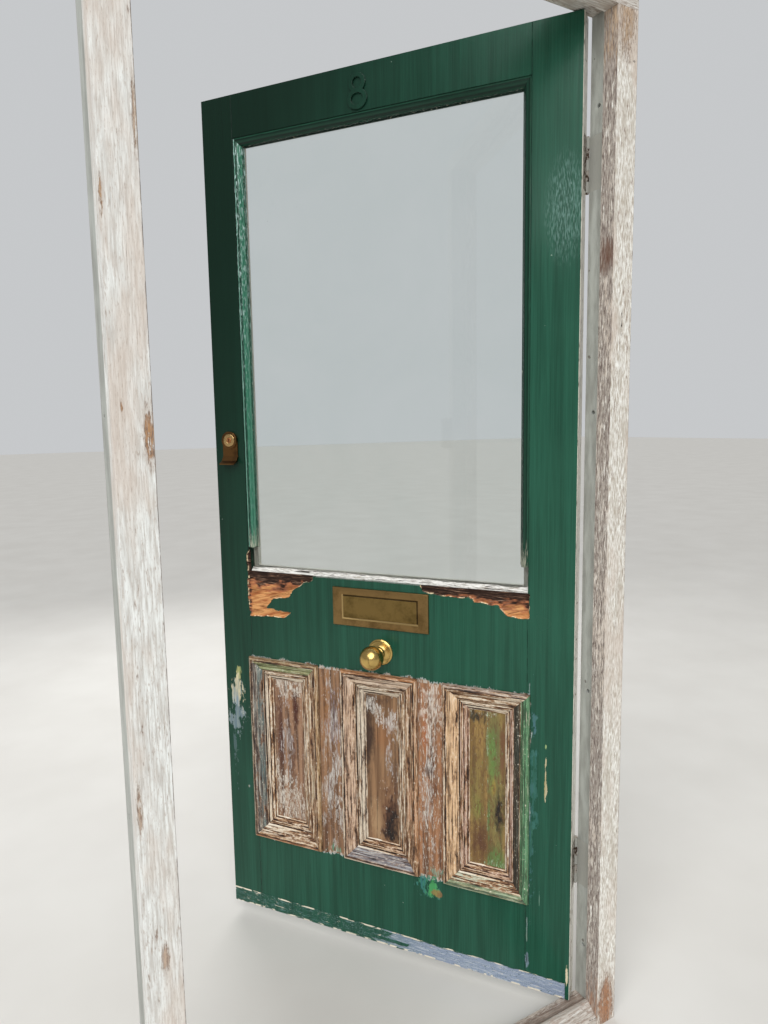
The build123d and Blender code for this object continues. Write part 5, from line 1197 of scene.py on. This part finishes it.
def ovolo_length(side, foot, seed):
    """One length: 0 at the latch, 1 at the top, 2 at the hinges; uprights tear off at a foot height."""
    profile = ovolo_profile()
    loop = np.concatenate([profile, [[0, GLASS_Y]]])
    inset, depth = loop[:, 0], loop[:, 1]
    left, right, top = pane_low[0], pane_high[0], pane_high[2]
    t = np.linspace(0, 1, 260)[:, None]
    measure = np.concatenate([along_profile(profile) / along_profile(profile)[-1], [1.0]])
    if side == 1:
        start, end = left + inset + 0.2 * MM, right - inset - 0.2 * MM
    else:
        start = foot + 5 * MM * wear(measure * 6.0, inset * 0 + seed, seed, 3)
        start[-1] = start[0]
        end = top - inset - 0.2 * MM
    run = start + t * (end - start)
    dent = wear(run / 0.04, measure * 6, seed, 3)
    held = np.clip((run.max() - run) / (6 * MM), 0, 1)
    y = np.minimum(depth + 0.25 * MM * (dent + 0.3) * held * (measure < 0.98), GLASS_Y)
    across = inset + 0 * y
    x = {0: left + across, 1: run, 2: right - across}[side]
    z = top - across if side == 1 else run
    rings = np.stack(np.broadcast_arrays(x, y, z), -1)
    values = {"section": np.broadcast_to(measure, y.shape).ravel(),
              "run": np.broadcast_to(run, y.shape).ravel()}
    return rings.reshape(-1, 3), carried(rings), values


print("points in the ovolo's section", len(ovolo_profile()))

# %% Paint on the ovolo
def ovolo_paint(name, lines, painted_highlight):
    """Gloss with lines along the section, flaked at glass and foot; the third value lays streaks of painted
    highlight near the top.
    """
    material, tree, shader = new_finish(name)
    place = leaf_place(tree)
    z = split(tree, place)[2]
    section, run = value_of(tree, "section"), value_of(tree, "run")
    drawn = add(tree, "ShaderNodeCombineXYZ", {0: section, 1: run, 2: 0.0}).outputs[0]
    streaks = strands(tree, drawn, 22, 30, 1, 4.0, 0.6)
    colour, roughness, height = gloss_coat(tree, place)
    moved = plus(tree, section, swing_of(tree, streaks, 0.12))
    colour = lay(tree, 0.85, colour, bands(tree, moved, lines))
    threads = strands(tree, drawn, 13, 70, 1, 2.0, 0.5)
    gaps = strands(tree, drawn, 16, 42, 3, 2.0, 0.5)
    # Painted highlight: pale and dark streaks near the top stand for light caught in the brush marks.
    painted_highlight_streaks = both(tree, spread(tree, z, 1.20, 1.80, 0.15 * painted_highlight, painted_highlight),
                   spread(tree, threads, 0.50, 0.55))
    colour = lay(tree, both(tree, spread(tree, gaps, 0.52, 0.57), painted_highlight_streaks), colour, tint(20, 50, 40))
    colour = lay(tree, both(tree, spread(tree, gaps, 0.52, 0.46), painted_highlight_streaks), colour, tint(172, 196, 192))
    flaked = spread(tree, strands(tree, drawn, 18, 120, 1, 4.0, 0.65), 0.62, 0.65)
    low_end = spread(tree, z, RAIL_TOP + 0.12, RAIL_TOP + 0.055)
    flaked = either(tree, both(tree, flaked, spread(tree, section, 0.55, 0.8)),
                    both(tree, low_end, spread(tree, streaks, 0.5, 0.54)))
    colour = lay(tree, flaked, colour, lay(tree, streaks, tint(196, 178, 140), tint(178, 190, 182)))
    roughness = plus(tree, roughness, times(tree, flaked, 0.4))
    settle(tree, shader, colour, roughness, minus(tree, height, flaked), 0.0004, 0.0006, GLOSS_MIRROR)
    return material


# Painted light: the latch side's lines are paler, a painted highlight, and the other sides' lines darker,
# painted shade.
PAINTED_LIT_LINES = [(0.0, tint(22, 58, 44)), (0.07, tint(120, 168, 150)), (0.13, tint(18, 52, 40)),
             (0.24, tint(20, 62, 46)), (0.34, tint(66, 126, 102)), (0.50, tint(48, 106, 84)),
             (0.60, tint(84, 142, 118)), (0.76, tint(26, 78, 58)), (0.90, tint(84, 112, 98)),
             (1.0, tint(150, 152, 142))]
PAINTED_SHADE_LINES = [(0.0, tint(14, 40, 30)), (0.08, tint(34, 78, 60)), (0.14, tint(8, 26, 19)),
              (0.32, tint(24, 60, 46)), (0.44, tint(9, 28, 21)), (0.60, tint(26, 62, 48)),
              (0.78, tint(9, 27, 20)), (0.92, tint(30, 44, 38)), (1.0, tint(104, 104, 98))]
painted_lit_ovolo = ovolo_paint("ovolo_painted_lit", PAINTED_LIT_LINES, 0.8)
painted_shade_ovolo = ovolo_paint("ovolo_painted_shade", PAINTED_SHADE_LINES, 0.0)
for side, word, seed, finish in ((0, "latch", 5, painted_lit_ovolo), (1, "top", 6, painted_shade_ovolo),
                                 (2, "hinge", 7, painted_shade_ovolo)):
    foot = closed_box(f"glazing_moulding_{word}")[0][2]
    points, faces, values = ovolo_length(side, foot + 5 * MM, seed)
    make_piece(f"ovolo_{word}", stand_open(points), faces, finish, "leaf",
               [f"glazing_moulding_{word}"], values, sharp=50)

# %% Cracked putty along the foot of the pane
putty_low, putty_high = closed_box("putty_bed")
t = np.linspace(0, 1, 420)[:, None]
s = np.linspace(0, 1, 14)[None, :]
run = putty_low[0] + t * (putty_high[0] - putty_low[0])
lumps = wear(run / 0.012, s * 5, 31, 4)
slits = np.clip(wear(run / 0.05, s * 7 + 3, 47, 3) - 0.32, 0, 1)
top_z = putty_high[2] - 0.003 + 0.0028 * wear(run / 0.03, s * 0, 52, 3)
bed_y = putty_low[1] + s * (GLASS_Y - putty_low[1]) + 0.0006 * lumps + 0.004 * slits
bed_z = putty_low[2] + 0.002 + s * (top_z - putty_low[2] - 0.002) - 0.002 * slits
bed_y = np.clip(bed_y, putty_low[1], GLASS_Y - 0.0001)
back_line = np.array([[GLASS_Y, putty_low[2]], [putty_low[1] + 0.0002, putty_low[2]]])
ring_y = np.concatenate([bed_y, np.broadcast_to(back_line[:, 0], (len(t), 2))], axis=1)
ring_z = np.concatenate([bed_z, np.broadcast_to(back_line[:, 1], (len(t), 2))], axis=1)
rings = np.stack([np.broadcast_to(run, ring_y.shape), ring_y, ring_z], -1)
slit_value = np.concatenate([slits, np.zeros((len(t), 2))], axis=1)
old_putty, tree, shader = new_finish("old_putty")
place = leaf_place(tree)
slit = value_of(tree, "slit")
flakes = use(tree, remains, Place=place, Cover=0.60, Across=60.0, Along=420.0)
cracks = strands(tree, place, 60, 60, 520, 4.0, 0.65)
colour = lay(tree, spread(tree, cracks, 0.3, 0.6), tint(176, 172, 164), tint(236, 234, 228))
colour = lay(tree, flakes["Mask"], tint(190, 182, 170), colour)
dark = either(tree, spread(tree, slit, 0.02, 0.10), spread(tree, cracks, 0.33, 0.31))
colour = lay(tree, dark, colour, tint(52, 42, 36))
settle(tree, shader, colour, 0.82, plus(tree, flakes["Height"], cracks), 0.0007, 0.0004)
make_piece("cracked_putty", stand_open(rings.reshape(-1, 3)), carried(rings), old_putty, "leaf",
           ["putty_bed"], {"slit": slit_value.ravel()}, sharp=60)

# %% [markdown]
# ## The strip at the foot of the leaf
# A band was let into the foot of the leaf and has lost most of its green. The upper coat ends in
# a broken lip, so the strip is a slab whose front stands a paint's thickness proud where the coat
# is left and sinks back where it has flaked. The same value tells the finish which coat shows.

# %% Flaking strip
STRIP_GRID, STRIP_ROWS = 0.0016, 30
strip_low, strip_high = closed_box("weather_strip")
x, z = np.meshgrid(np.arange(strip_low[0], strip_high[0] + 0.0001, STRIP_GRID),
                   np.linspace(strip_low[2], strip_high[2], STRIP_ROWS))
x = np.minimum(x, strip_high[0])
coat = wear(x / 0.045, z / 0.008, 71, 5)
toward_hinge = np.clip((x + 0.02) / 0.12, 0, 1)
lip_height = strip_high[2] - 0.003 - 0.004 * wear(x / 0.03, z * 0, 77, 4)
green_left = np.clip((coat + 0.55 - 1.15 * toward_hinge) * 6, 0, 1)
green_left = np.maximum(green_left, np.clip((z - lip_height) / 0.001, 0, 1) * (coat > -0.3))
chipped = np.clip((wear(x / 0.014, z / 0.005, 83, 4) - 0.25) * 8, 0, 1)
front = strip_low[1] + 0.0003 + 0.0011 * (1 - green_left) + 0.0008 * chipped + 0.0002 * coat
front = np.maximum(front, strip_low[1])
points, faces, used = slab(x, z, front, np.full(x.shape, strip_high[1]),
                           np.ones((x.shape[0] - 1, x.shape[1] - 1), bool))
print("share of the strip that keeps its green", round(float(green_left.mean()), 2))

# %% Paint on the strip
strip_paint, tree, shader = new_finish("strip_paint")
place = leaf_place(tree)
sx, _, sz = split(tree, place)[:3]
green_value, chip_value = value_of(tree, "green"), value_of(tree, "chipped")
scuffs = strands(tree, place, 26, 26, 420, 5.0, 0.66)
grit = noise(tree, place, 420.0, 3.0, 0.65)
undercoat = lay(tree, spread(tree, sx, -0.05, 0.12), tint(86, 112, 114), tint(134, 146, 166))
undercoat = lay(tree, spread(tree, scuffs, 0.50, 0.62), undercoat, tint(176, 184, 192))
undercoat = lay(tree, spread(tree, grit, 0.60, 0.63), undercoat, tint(30, 74, 58))
green_coat, _, height = gloss_coat(tree, place)
green_coat = lay(tree, spread(tree, scuffs, 0.54, 0.64), green_coat, tint(74, 108, 106))
green_coat = lay(tree, spread(tree, grit, 0.60, 0.66), green_coat, tint(120, 146, 146))
green_mask = spread(tree, plus(tree, green_value, swing_of(tree, grit, 0.7)), 0.45, 0.55)
colour = lay(tree, green_mask, undercoat, green_coat)
colour = lay(tree, both(tree, spread(tree, chip_value, 0.5, 0.9), spread(tree, scuffs, 0.54, 0.60)), colour,
             tint(206, 200, 184))
upper = both(tree, spread(tree, sz, strip_high[2] - 0.0045, strip_high[2] - 0.0025),
             spread(tree, strands(tree, place, 34, 34, 90, 3.0), 0.49, 0.52))
lower = both(tree, spread(tree, sz, strip_low[2] + 0.0045, strip_low[2] + 0.002),
             spread(tree, strands(tree, place, 40, 40, 60, 3.0), 0.51, 0.54))
colour = lay(tree, either(tree, upper, lower), colour, tint(218, 210, 190))
settle(tree, shader, colour, spread(tree, green_value, 0.0, 1.0, 0.62, 0.34),
       plus(tree, scuffs, height), 0.0005, 0.0005, GLOSS_MIRROR)
make_piece("flaking_strip", stand_open(points), faces, strip_paint, "leaf", ["weather_strip"],
           {"green": green_left.ravel()[used], "chipped": chipped.ravel()[used]}, sharp=60)

# %% [markdown]
# ## Worn white frame
# The frame's softwood has lost much of its white paint. Its front keeps the most, in streaks
# along the grain; the side of the stop is bare, mauve-grey and rough; the rebate behind it was
# sheltered and is a cleaner grey. Places in the frame tell these faces apart.

# %% Frame finish
SHOULDER_Y = LEAF_FRONT - 0.0015
STOP_X = LEAF_EDGE - 0.009
FRAME_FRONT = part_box("post_hinge")[0][1]
FRAME_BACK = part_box("post_hinge")[1][1]


def worn_white(name, lying, cover, hairs, low, high, bare_spots):
    """White paint worn from grey wood, in hairs (across, along); spots are (middle, half, colour)."""
    material, tree, shader = new_finish(name)
    place = frame_place(tree)
    x, y, _ = split(tree, place)[:3]
    along = on_its_side(tree, place) if lying else place
    wood = use(tree, grain, Place=along, Pale=tint(184, 168, 156), Dark=tint(118, 98, 86), Rings=150.0)
    broad = strands(tree, along, 14, 14, 4, 3.0, 0.6)
    dirt = strands(tree, along, 60, 60, 14, 4.0, 0.6)
    fleck = strands(tree, along, 460, 460, 90, 4.0, 0.68)
    flake = strands(tree, along, 210, 210, 26, 5.0, 0.70, 0.2)
    hair = strands(tree, along, hairs[0], hairs[0], hairs[1], 4.0, 0.62)
    ragged = either_way(tree, flake)
    colour = wood["Colour"]
    if not lying:
        in_stop = both(tree, spread(tree, calc(tree, "ABSOLUTE", x), STOP_X + 0.0012, STOP_X + 0.0004),
                       spread(tree, y, SHOULDER_Y - 0.0002, SHOULDER_Y - 0.0006))
        colour = lay(tree, in_stop, colour,
                     lay(tree, spread(tree, hair, 0.34, 0.64), tint(104, 91, 85), tint(178, 168, 158)))
    left = weigh(tree, (flake, 0.50), (fleck, 0.30), (broad, 0.20))
    left = plus(tree, left, 0.5 * (cover - 0.5))
    for middle, half, tone in bare_spots:
        soft = use(tree, spot, Place=place, Centre=middle, Half=half, Torn=ragged, Rag=0.5)["Soft"]
        stain = lay(tree, spread(tree, fleck, 0.36, 0.54), tint(104, 78, 60), tone)
        colour = lay(tree, times(tree, soft, 0.75), colour, stain)
        left = minus(tree, left, times(tree, soft, 0.15))
    white = lay(tree, spread(tree, hair, 0.34, 0.64), low, high)
    white = lay(tree, spread(tree, dirt, 0.54, 0.32, 0.0, 0.5), white, low)
    white = lay(tree, spread(tree, broad, 0.47, 0.66, 0.0, 0.6), white, tint(204, 188, 174))
    white = lay(tree, spread(tree, fleck, 0.46, 0.34, 0.0, 0.45), white, tint(166, 150, 136))
    if not lying:
        left = minus(tree, left, times(tree, in_stop, 0.115))
        sheltered = spread(tree, y, SHOULDER_Y - 0.0004, SHOULDER_Y)
        grey = lay(tree, spread(tree, dirt, 0.3, 0.7), tint(146, 148, 142), tint(176, 180, 174))
        white = lay(tree, sheltered, white, grey)
        left = plus(tree, left, times(tree, sheltered, 0.10))
    skin = spread(tree, left, 0.470, 0.510, 0.0, 0.96)
    colour = lay(tree, skin, colour, white)
    thin = both(tree, skin, spread(tree, left, 0.56, 0.50))
    colour = lay(tree, times(tree, thin, 0.45), colour, tint(186, 170, 156))
    marks = use(tree, nicks, Place=place, Spacing=30.0, Share=0.10)["Mask"]
    colour = lay(tree, times(tree, marks, 0.7), colour, tint(84, 74, 66))
    walled = spread(tree, y, FRAME_BACK - 0.0012, FRAME_BACK - 0.0006)
    colour = lay(tree, times(tree, walled, 0.7), colour, tint(206, 200, 190))
    height = weigh(tree, (wood["Height"], 0.5), (skin, 0.5), (fleck, 0.5))
    settle(tree, shader, colour, spread(tree, skin, 0.0, 1.0, 0.88, 0.55), height, 0.0008, 0.0022)
    return material


print("frame depth", round(float(FRAME_BACK - FRAME_FRONT), 4))

# %% Posts, head and sill
ORANGE_WOOD = tint(178, 120, 74)
give(worn_white("frame_latch_side", False, 0.68, (300, 22), tint(197, 194, 188), tint(238, 241, 238), [
    ((-0.426, -0.037, 1.66), (0.004, 0.03, 0.06), tint(192, 172, 150)),
    ((-0.430, -0.037, 1.262), (0.009, 0.03, 0.050), tint(184, 136, 86)),
    ((-0.462, -0.037, 1.300), (0.003, 0.03, 0.016), tint(180, 138, 98)),
    ((-0.472, -0.037, 1.56), (0.003, 0.03, 0.04), tint(196, 158, 118)),
    ((-0.470, -0.037, 0.75), (0.005, 0.03, 0.05), tint(192, 168, 144)),
    ((-0.446, -0.037, 0.52), (0.008, 0.03, 0.03), tint(192, 168, 146))]), "post_latch")
give(worn_white("frame_hinge_side", False, 0.66, (430, 60), tint(178, 168, 152), tint(252, 252, 246), [
    ((0.449, -0.037, 1.985), (0.036, 0.05, 0.085), tint(196, 168, 136)),
    ((0.449, -0.037, 0.04), (0.030, 0.05, 0.09), ORANGE_WOOD),
    ((0.423, -0.022, 1.578), (0.008, 0.022, 0.030), tint(92, 50, 26))]), "post_hinge")
give(worn_white("frame_head", True, 0.60, (300, 20), tint(176, 168, 158), tint(222, 220, 214), [
    ((0.2, -0.037, 2.03), (0.3, 0.05, 0.012), tint(176, 148, 116))]), "frame_head")
give(worn_white("frame_sill", True, 0.56, (300, 20), tint(160, 152, 142), tint(210, 207, 200), [
    ((0.0, 0.01, 0.028), (0.6, 0.03, 0.01), tint(128, 118, 108))]), "sill")
print("finishes so far", len(bpy.data.materials))

# %% [markdown]
# ## Glass
# The pane is plain float glass with a film of dust and a few dried drops near its top corner.
# The dust changes the roughness and hardly the colour, so the glass stays clear in the middle.

# %% Pane
pane, tree, shader = new_finish("pane")
place = leaf_place(tree)
film = noise(tree, place, 4.0, 4.0, 0.6, 0.5)
drops = use(tree, nicks, Place=place, Spacing=130.0, Share=0.30)["Mask"]
near_top = use(tree, patch, Place=place, Centre=(-0.22, 0, 1.82), Half=(0.12, 1, 0.13), Torn=film,
               Rag=0.1)["Mask"]
shader.inputs["Transmission Weight"].default_value = 1.0
shader.inputs["IOR"].default_value = 1.46
roughness = plus(tree, spread(tree, film, 0.5, 0.8, 0.0, 0.10), times(tree, both(tree, drops, near_top), 0.3))
settle(tree, shader, lay(tree, film, tint(246, 250, 249), tint(232, 240, 238)), roughness,
       both(tree, drops, near_top), 0.0003, 0.0005)
give(pane, "glass")
print("nodes in the pane's finish", len(tree.nodes))

# %% [markdown]
# ## Brass
# Polished brass mirrors its surroundings; old brass is browner and duller, with finger-worn
# places that stay bright. One function makes each fitting's brass from two tones and how dull it
# is. The bevel round the letter plate's opening carries painted light: a pale painted highlight on
# its lower and left edges and dark painted shade on the other two.
# The turned pieces are profiles spun about their axis, (radius, depth) round a circle.

# %% Brass finishes
plate_low, plate_high = closed_box("letter_plate")
flap_low, flap_high = closed_box("letter_flap")
PLATE_FRONT = plate_low[1]
PLATE_HALF = np.array([plate_high[0] - plate_low[0], plate_high[2] - plate_low[2]]) / 2
PLATE_AT = np.array([plate_high[0] + plate_low[0], plate_high[2] + plate_low[2]]) / 2
OPENING = np.array([flap_high[0] - flap_low[0], flap_high[2] - flap_low[2]]) / 2 + 0.5 * MM
EAR = 4 * MM


def brass(name, bright, aged, share, shine, arris=0.0008, bevelled=False):
    """Brass aged in clouds: share is how much is aged, shine how rough the bright places are."""
    material, tree, shader = new_finish(name)
    place = leaf_place(tree)
    clouds = noise(tree, place, 22.0, 4.0, 0.55, 0.2)
    fine = noise(tree, place, 210.0, 3.0, 0.6)
    scratches = strands(tree, place, 60, 900, 900, 2.0, 0.5)
    spots = use(tree, nicks, Place=place, Spacing=200.0, Share=0.06)["Mask"]
    old = weigh(tree, (clouds, 0.8), (fine, 0.2))
    old = spread(tree, old, 0.62 - 0.3 * share, 0.86 - 0.3 * share)
    old = plus(tree, times(tree, old, 0.8), share * 0.3, clamped=True)
    colour = lay(tree, old, bright, aged)
    colour = lay(tree, times(tree, spots, 0.5), colour, tint(70, 56, 34))
    if bevelled:
        x, _, z = split(tree, place)[:3]
        bevel = value_of(tree, "bevel")
        # Painted light on the bevel: the lower and left edges are a painted highlight, the upper and right
        # ones painted shade.
        painted_lit_edges = either(tree, spread(tree, z, PLATE_AT[1] - OPENING[1] + 0.0004, PLATE_AT[1] - OPENING[1]),
                        spread(tree, x, PLATE_AT[0] - OPENING[0] + 0.0004, PLATE_AT[0] - OPENING[0]))
        colour = lay(tree, both(tree, bevel, painted_lit_edges), colour, tint(172, 146, 98))
        colour = lay(tree, both(tree, bevel, minus(tree, 0.7, painted_lit_edges, clamped=True)), colour,
                     tint(44, 34, 18))
    shader.inputs["Metallic"].default_value = 1.0
    roughness = plus(tree, spread(tree, old, 0.0, 1.0, shine, shine + 0.14), times(tree, fine, 0.06))
    settle(tree, shader, colour, roughness, plus(tree, fine, scratches), 0.00005, arris)
    return material


polished = brass("polished_brass", tint(212, 180, 110), tint(156, 124, 68), 0.40, 0.20)
lock_brass = brass("lock_brass", tint(214, 178, 122), tint(136, 102, 62), 0.35, 0.16, 0.0028)
aged_brass = brass("aged_brass", tint(138, 114, 68), tint(98, 80, 44), 0.50, 0.34)
plate_brass = brass("plate_brass", tint(146, 118, 76), tint(108, 86, 52), 0.50, 0.34, bevelled=True)
brown_brass = brass("brown_brass", tint(120, 86, 50), tint(62, 44, 28), 0.60, 0.26, 0.0018)
copper = brass("coppery_plug", tint(206, 140, 92), tint(140, 88, 56), 0.45, 0.24)
print("letter plate", np.round(PLATE_HALF * 2, 4), "opening", np.round(OPENING * 2, 4))

# %% Turning a profile
def spun(profile, centre, count=96):
    """Profile of (radius, y) spun about a level axis at (x, z); a radius of 0 becomes one closing point."""
    turn = np.linspace(0, 2 * math.pi, count, endpoint=False)
    body = np.array([row for row in profile if row[0] > 0])
    x = centre[0] + body[:, :1] * np.cos(turn)
    z = centre[1] + body[:, :1] * np.sin(turn)
    rings = np.stack([x, np.broadcast_to(body[:, 1:], x.shape), z], -1).reshape(-1, 3)
    points = np.vstack([rings, [(centre[0], profile[0][1], centre[1]),
                                (centre[0], profile[-1][1], centre[1])]])
    index = np.arange(len(rings)).reshape(len(body), count)
    beside = np.roll(index, -1, axis=1)
    sides = np.stack([index[:-1], beside[:-1], beside[1:], index[1:]], -1).reshape(-1, 4)
    first = np.stack([np.full(count, len(rings)), beside[0], index[0]], -1)
    last = np.stack([np.full(count, len(rings) + 1), index[-1], beside[-1]], -1)
    return points, [sides, first, last]


def arc_of(centre_y, radius, start, end, count=24):
    """Round part of a turned profile, (radius, y), from one angle to another, 0 on the axis outside."""
    angle = np.radians(np.linspace(start, end, count))
    return np.stack([radius * np.sin(angle), centre_y - radius * np.cos(angle)], -1)


print("half a turned ball", arc_of(0.0, 1.0, 0, 180, 3).round(3).tolist())

# %% Knob on its rose
knob_low, knob_high = closed_box("knob")
knob_at = ((knob_low[0] + knob_high[0]) / 2, (knob_low[2] + knob_high[2]) / 2)
KNOB = (knob_high[0] - knob_low[0]) / 2
ball_y = knob_low[1] + KNOB
profile = np.vstack([arc_of(ball_y, KNOB, 0, 146, 40),
                     [(0.0125, ball_y + 0.0250), (0.0115, ball_y + 0.0280), (0.0150, ball_y + 0.0305)],
                     [(0.0160, ball_y + 0.0335), (0.0130, knob_high[1]), (0, knob_high[1])]])
points, faces = spun(profile, knob_at)
make_piece("knob_ball", stand_open(points), faces, polished, "leaf", ["knob"], sharp=35)
rose_low, rose_high = closed_box("knob_rose")
ROSE = (rose_high[0] - rose_low[0]) / 2
depth = rose_high[1] - rose_low[1]
profile = np.vstack([[(0, rose_low[1]), (ROSE * 0.42, rose_low[1]), (ROSE * 0.46, rose_low[1] + 0.0006)],
                     [(ROSE * 0.50, rose_low[1] + 0.25 * depth), (ROSE * 0.60, rose_low[1] + 0.42 * depth)],
                     [(ROSE * 0.80, rose_low[1] + 0.50 * depth), (ROSE * 0.86, rose_low[1] + 0.54 * depth)],
                     [(ROSE * 0.88, rose_low[1] + 0.66 * depth), (ROSE * 0.95, rose_low[1] + 0.72 * depth)],
                     [(ROSE * 0.995, rose_low[1] + 0.82 * depth), (ROSE, rose_high[1] - 0.001),
                      (ROSE, rose_high[1]), (0, rose_high[1])]])
points, faces = spun(profile, knob_at)
make_piece("rose_turned", stand_open(points), faces, polished, "leaf", ["knob_rose"], sharp=28)
print("knob radius", round(float(KNOB), 4), "rose radius", round(float(ROSE), 4))

# %% Letter plate with a bevelled opening
def framed(outer, inner, section):
    """Section (share, step, y) carried round a rectangle: half = outer - share (outer - inner) - step."""
    corner = np.array([(-1, -1), (1, -1), (1, 1), (-1, 1)])[:, None, :]
    share, step, y = np.array(section).T
    half = outer - share[:, None] * (outer - inner) - step[:, None]
    across = PLATE_AT + corner * half[None]
    rings = np.stack([across[..., 0], np.broadcast_to(y, across.shape[:2]), across[..., 1]], -1)
    index = np.arange(rings[..., 0].size).reshape(rings.shape[:2])
    beside, following = np.roll(index, -1, axis=0), np.roll(index, -1, axis=1)
    faces = np.stack([index, following, np.roll(beside, -1, axis=1), beside], -1).reshape(-1, 4)
    return rings.reshape(-1, 3), [faces]


def cuboid(low, high):
    """Box between two corners, as two squares of a carried profile."""
    square = np.array([(0, 0), (0, 1), (1, 1), (1, 0)], float)
    rings = np.stack([np.column_stack([np.full(4, end), square]) for end in (0.0, 1.0)])
    return (low + rings * (np.array(high) - low)).reshape(-1, 3), carried(rings)


bevel = [(0, 0, LEAF_FRONT), (0, 0, PLATE_FRONT + 1.4 * MM), (0, 1.0 * MM, PLATE_FRONT + 0.3 * MM),
         (0, 2.0 * MM, PLATE_FRONT), (1, -3.8 * MM, PLATE_FRONT), (1, -3.2 * MM, PLATE_FRONT + 0.15 * MM),
         (1, -0.4 * MM, PLATE_FRONT + 1.9 * MM), (1, 0, PLATE_FRONT + 2.2 * MM), (1, 0, LEAF_FRONT)]
shapes = [framed(PLATE_HALF, OPENING, bevel)]
for side in (-1, 1):
    ear = sorted(side * (OPENING[0] + reach) for reach in (0, EAR))
    shapes.append(cuboid((PLATE_AT[0] + ear[0], LEAF_FRONT - 0.5 * MM, PLATE_AT[1] + OPENING[1] - 9 * MM),
                         (PLATE_AT[0] + ear[1], plate_high[1], PLATE_AT[1] + OPENING[1] - 1 * MM)))
points, faces = join(shapes)
bevelled = (np.arange(len(points)) < 4 * len(bevel)) & np.isin(np.arange(len(points)) % len(bevel), (5, 6, 7))
make_piece("bevelled_plate", stand_open(points), faces, plate_brass, "leaf", ["letter_plate"],
           {"bevel": bevelled.astype(float)}, sharp=30)
give(aged_brass, "letter_flap", "letter_flap_pin")
give(brown_brass, "cylinder_pull")
give(lock_brass, "rim_cylinder")
give(polished, "latch_bolt")
give(copper, "cylinder_plug")

# %% [markdown]
# ## Numeral, iron and the inner latch
# The numeral was painted over with the door, so it has the door's own gloss. The hinges, screws
# and bolts are dull, half-painted steel. The night latch inside has a bronze enamel.

# %% Numeral and metalwork
numeral_gloss, tree, shader = new_finish("numeral_gloss")
colour, roughness, height = gloss_coat(tree, leaf_place(tree))
settle(tree, shader, colour, roughness, height, 0.0003, 0.0018, GLOSS_MIRROR)
give(numeral_gloss, "house_numeral")


def painted_metal(name, paint, metal, cover, rough):
    """Metal under a worn coat of paint."""
    material, tree, shader = new_finish(name)
    place = frame_place(tree)
    coat = use(tree, remains, Place=place, Cover=cover, Across=140.0, Along=120.0)
    mottle = noise(tree, place, 260.0, 4.0, 0.6)
    colour = lay(tree, coat["Mask"], lay(tree, mottle, metal, tint(52, 44, 38)), paint)
    tree.links.new(spread(tree, coat["Mask"], 0.0, 1.0, 0.9, 0.0), shader.inputs["Metallic"])
    settle(tree, shader, colour, spread(tree, mottle, 0.3, 0.7, rough, rough + 0.2),
           plus(tree, coat["Height"], mottle), 0.0002, 0.0006)
    return material


hinge_paint = painted_metal("hinge_paint", tint(160, 160, 152), tint(96, 74, 58), 0.84, 0.5)
hinge_iron = painted_metal("rusty_iron", tint(158, 152, 142), tint(92, 70, 56), 0.52, 0.6)
dull_steel = painted_metal("dull_steel", tint(120, 116, 110), tint(150, 146, 140), 0.25, 0.35)
enamel = painted_metal("bronze_enamel", tint(96, 76, 50), tint(150, 120, 70), 0.86, 0.32)
give(hinge_paint, "hinge_lower_post_flap", "hinge_upper_post_flap", "hinge_post_screws")
give(hinge_iron, "hinge_lower_leaf_flap", "hinge_upper_leaf_flap", "hinge_lower_pin", "hinge_upper_pin",
     "hinge_leaf_screws")
give(dull_steel, "latch_keep_screws", "letter_flap_spring", "letter_plate_bolts", "knob_bolt",
     "knob_washer", "knob_nut", "latch_case_screws", "latch_bolt_spring")
give(enamel, "latch_case", "latch_keep", "latch_turn", "latch_snib")
print("painted metals", [metal.name for metal in (hinge_paint, hinge_iron, dull_steel, enamel)])

# %% [markdown]
# ## Inner side
# Behind the panels a plain quarter round closes each opening, and beads hold the pane. They keep
# a white gloss coat with brush marks and a little wear on the arrises.

# %% Inner white gloss
inner_gloss, tree, shader = new_finish("inner_gloss")
place = leaf_place(tree)
colour = inner_coat(tree, place, LEAF_FRONT)[0]
settle(tree, shader, colour, 0.38, use(tree, brushed, Place=place)["Height"], 0.0003, 0.0015)
give(inner_gloss, "glazing_beads", "panel_left_back_moulding", "panel_centre_back_moulding",
     "panel_right_back_moulding")
finishes = {name: [slot.material for slot in thing.material_slots] for name, thing in nodes.items()
            if not thing.hide_render}
unfinished = [name for name, given_to in finishes.items()
              if not any(finish and finish.use_nodes and len(finish.node_tree.nodes) > 4
                         for finish in given_to)]
print("solids still without a finish", unfinished)
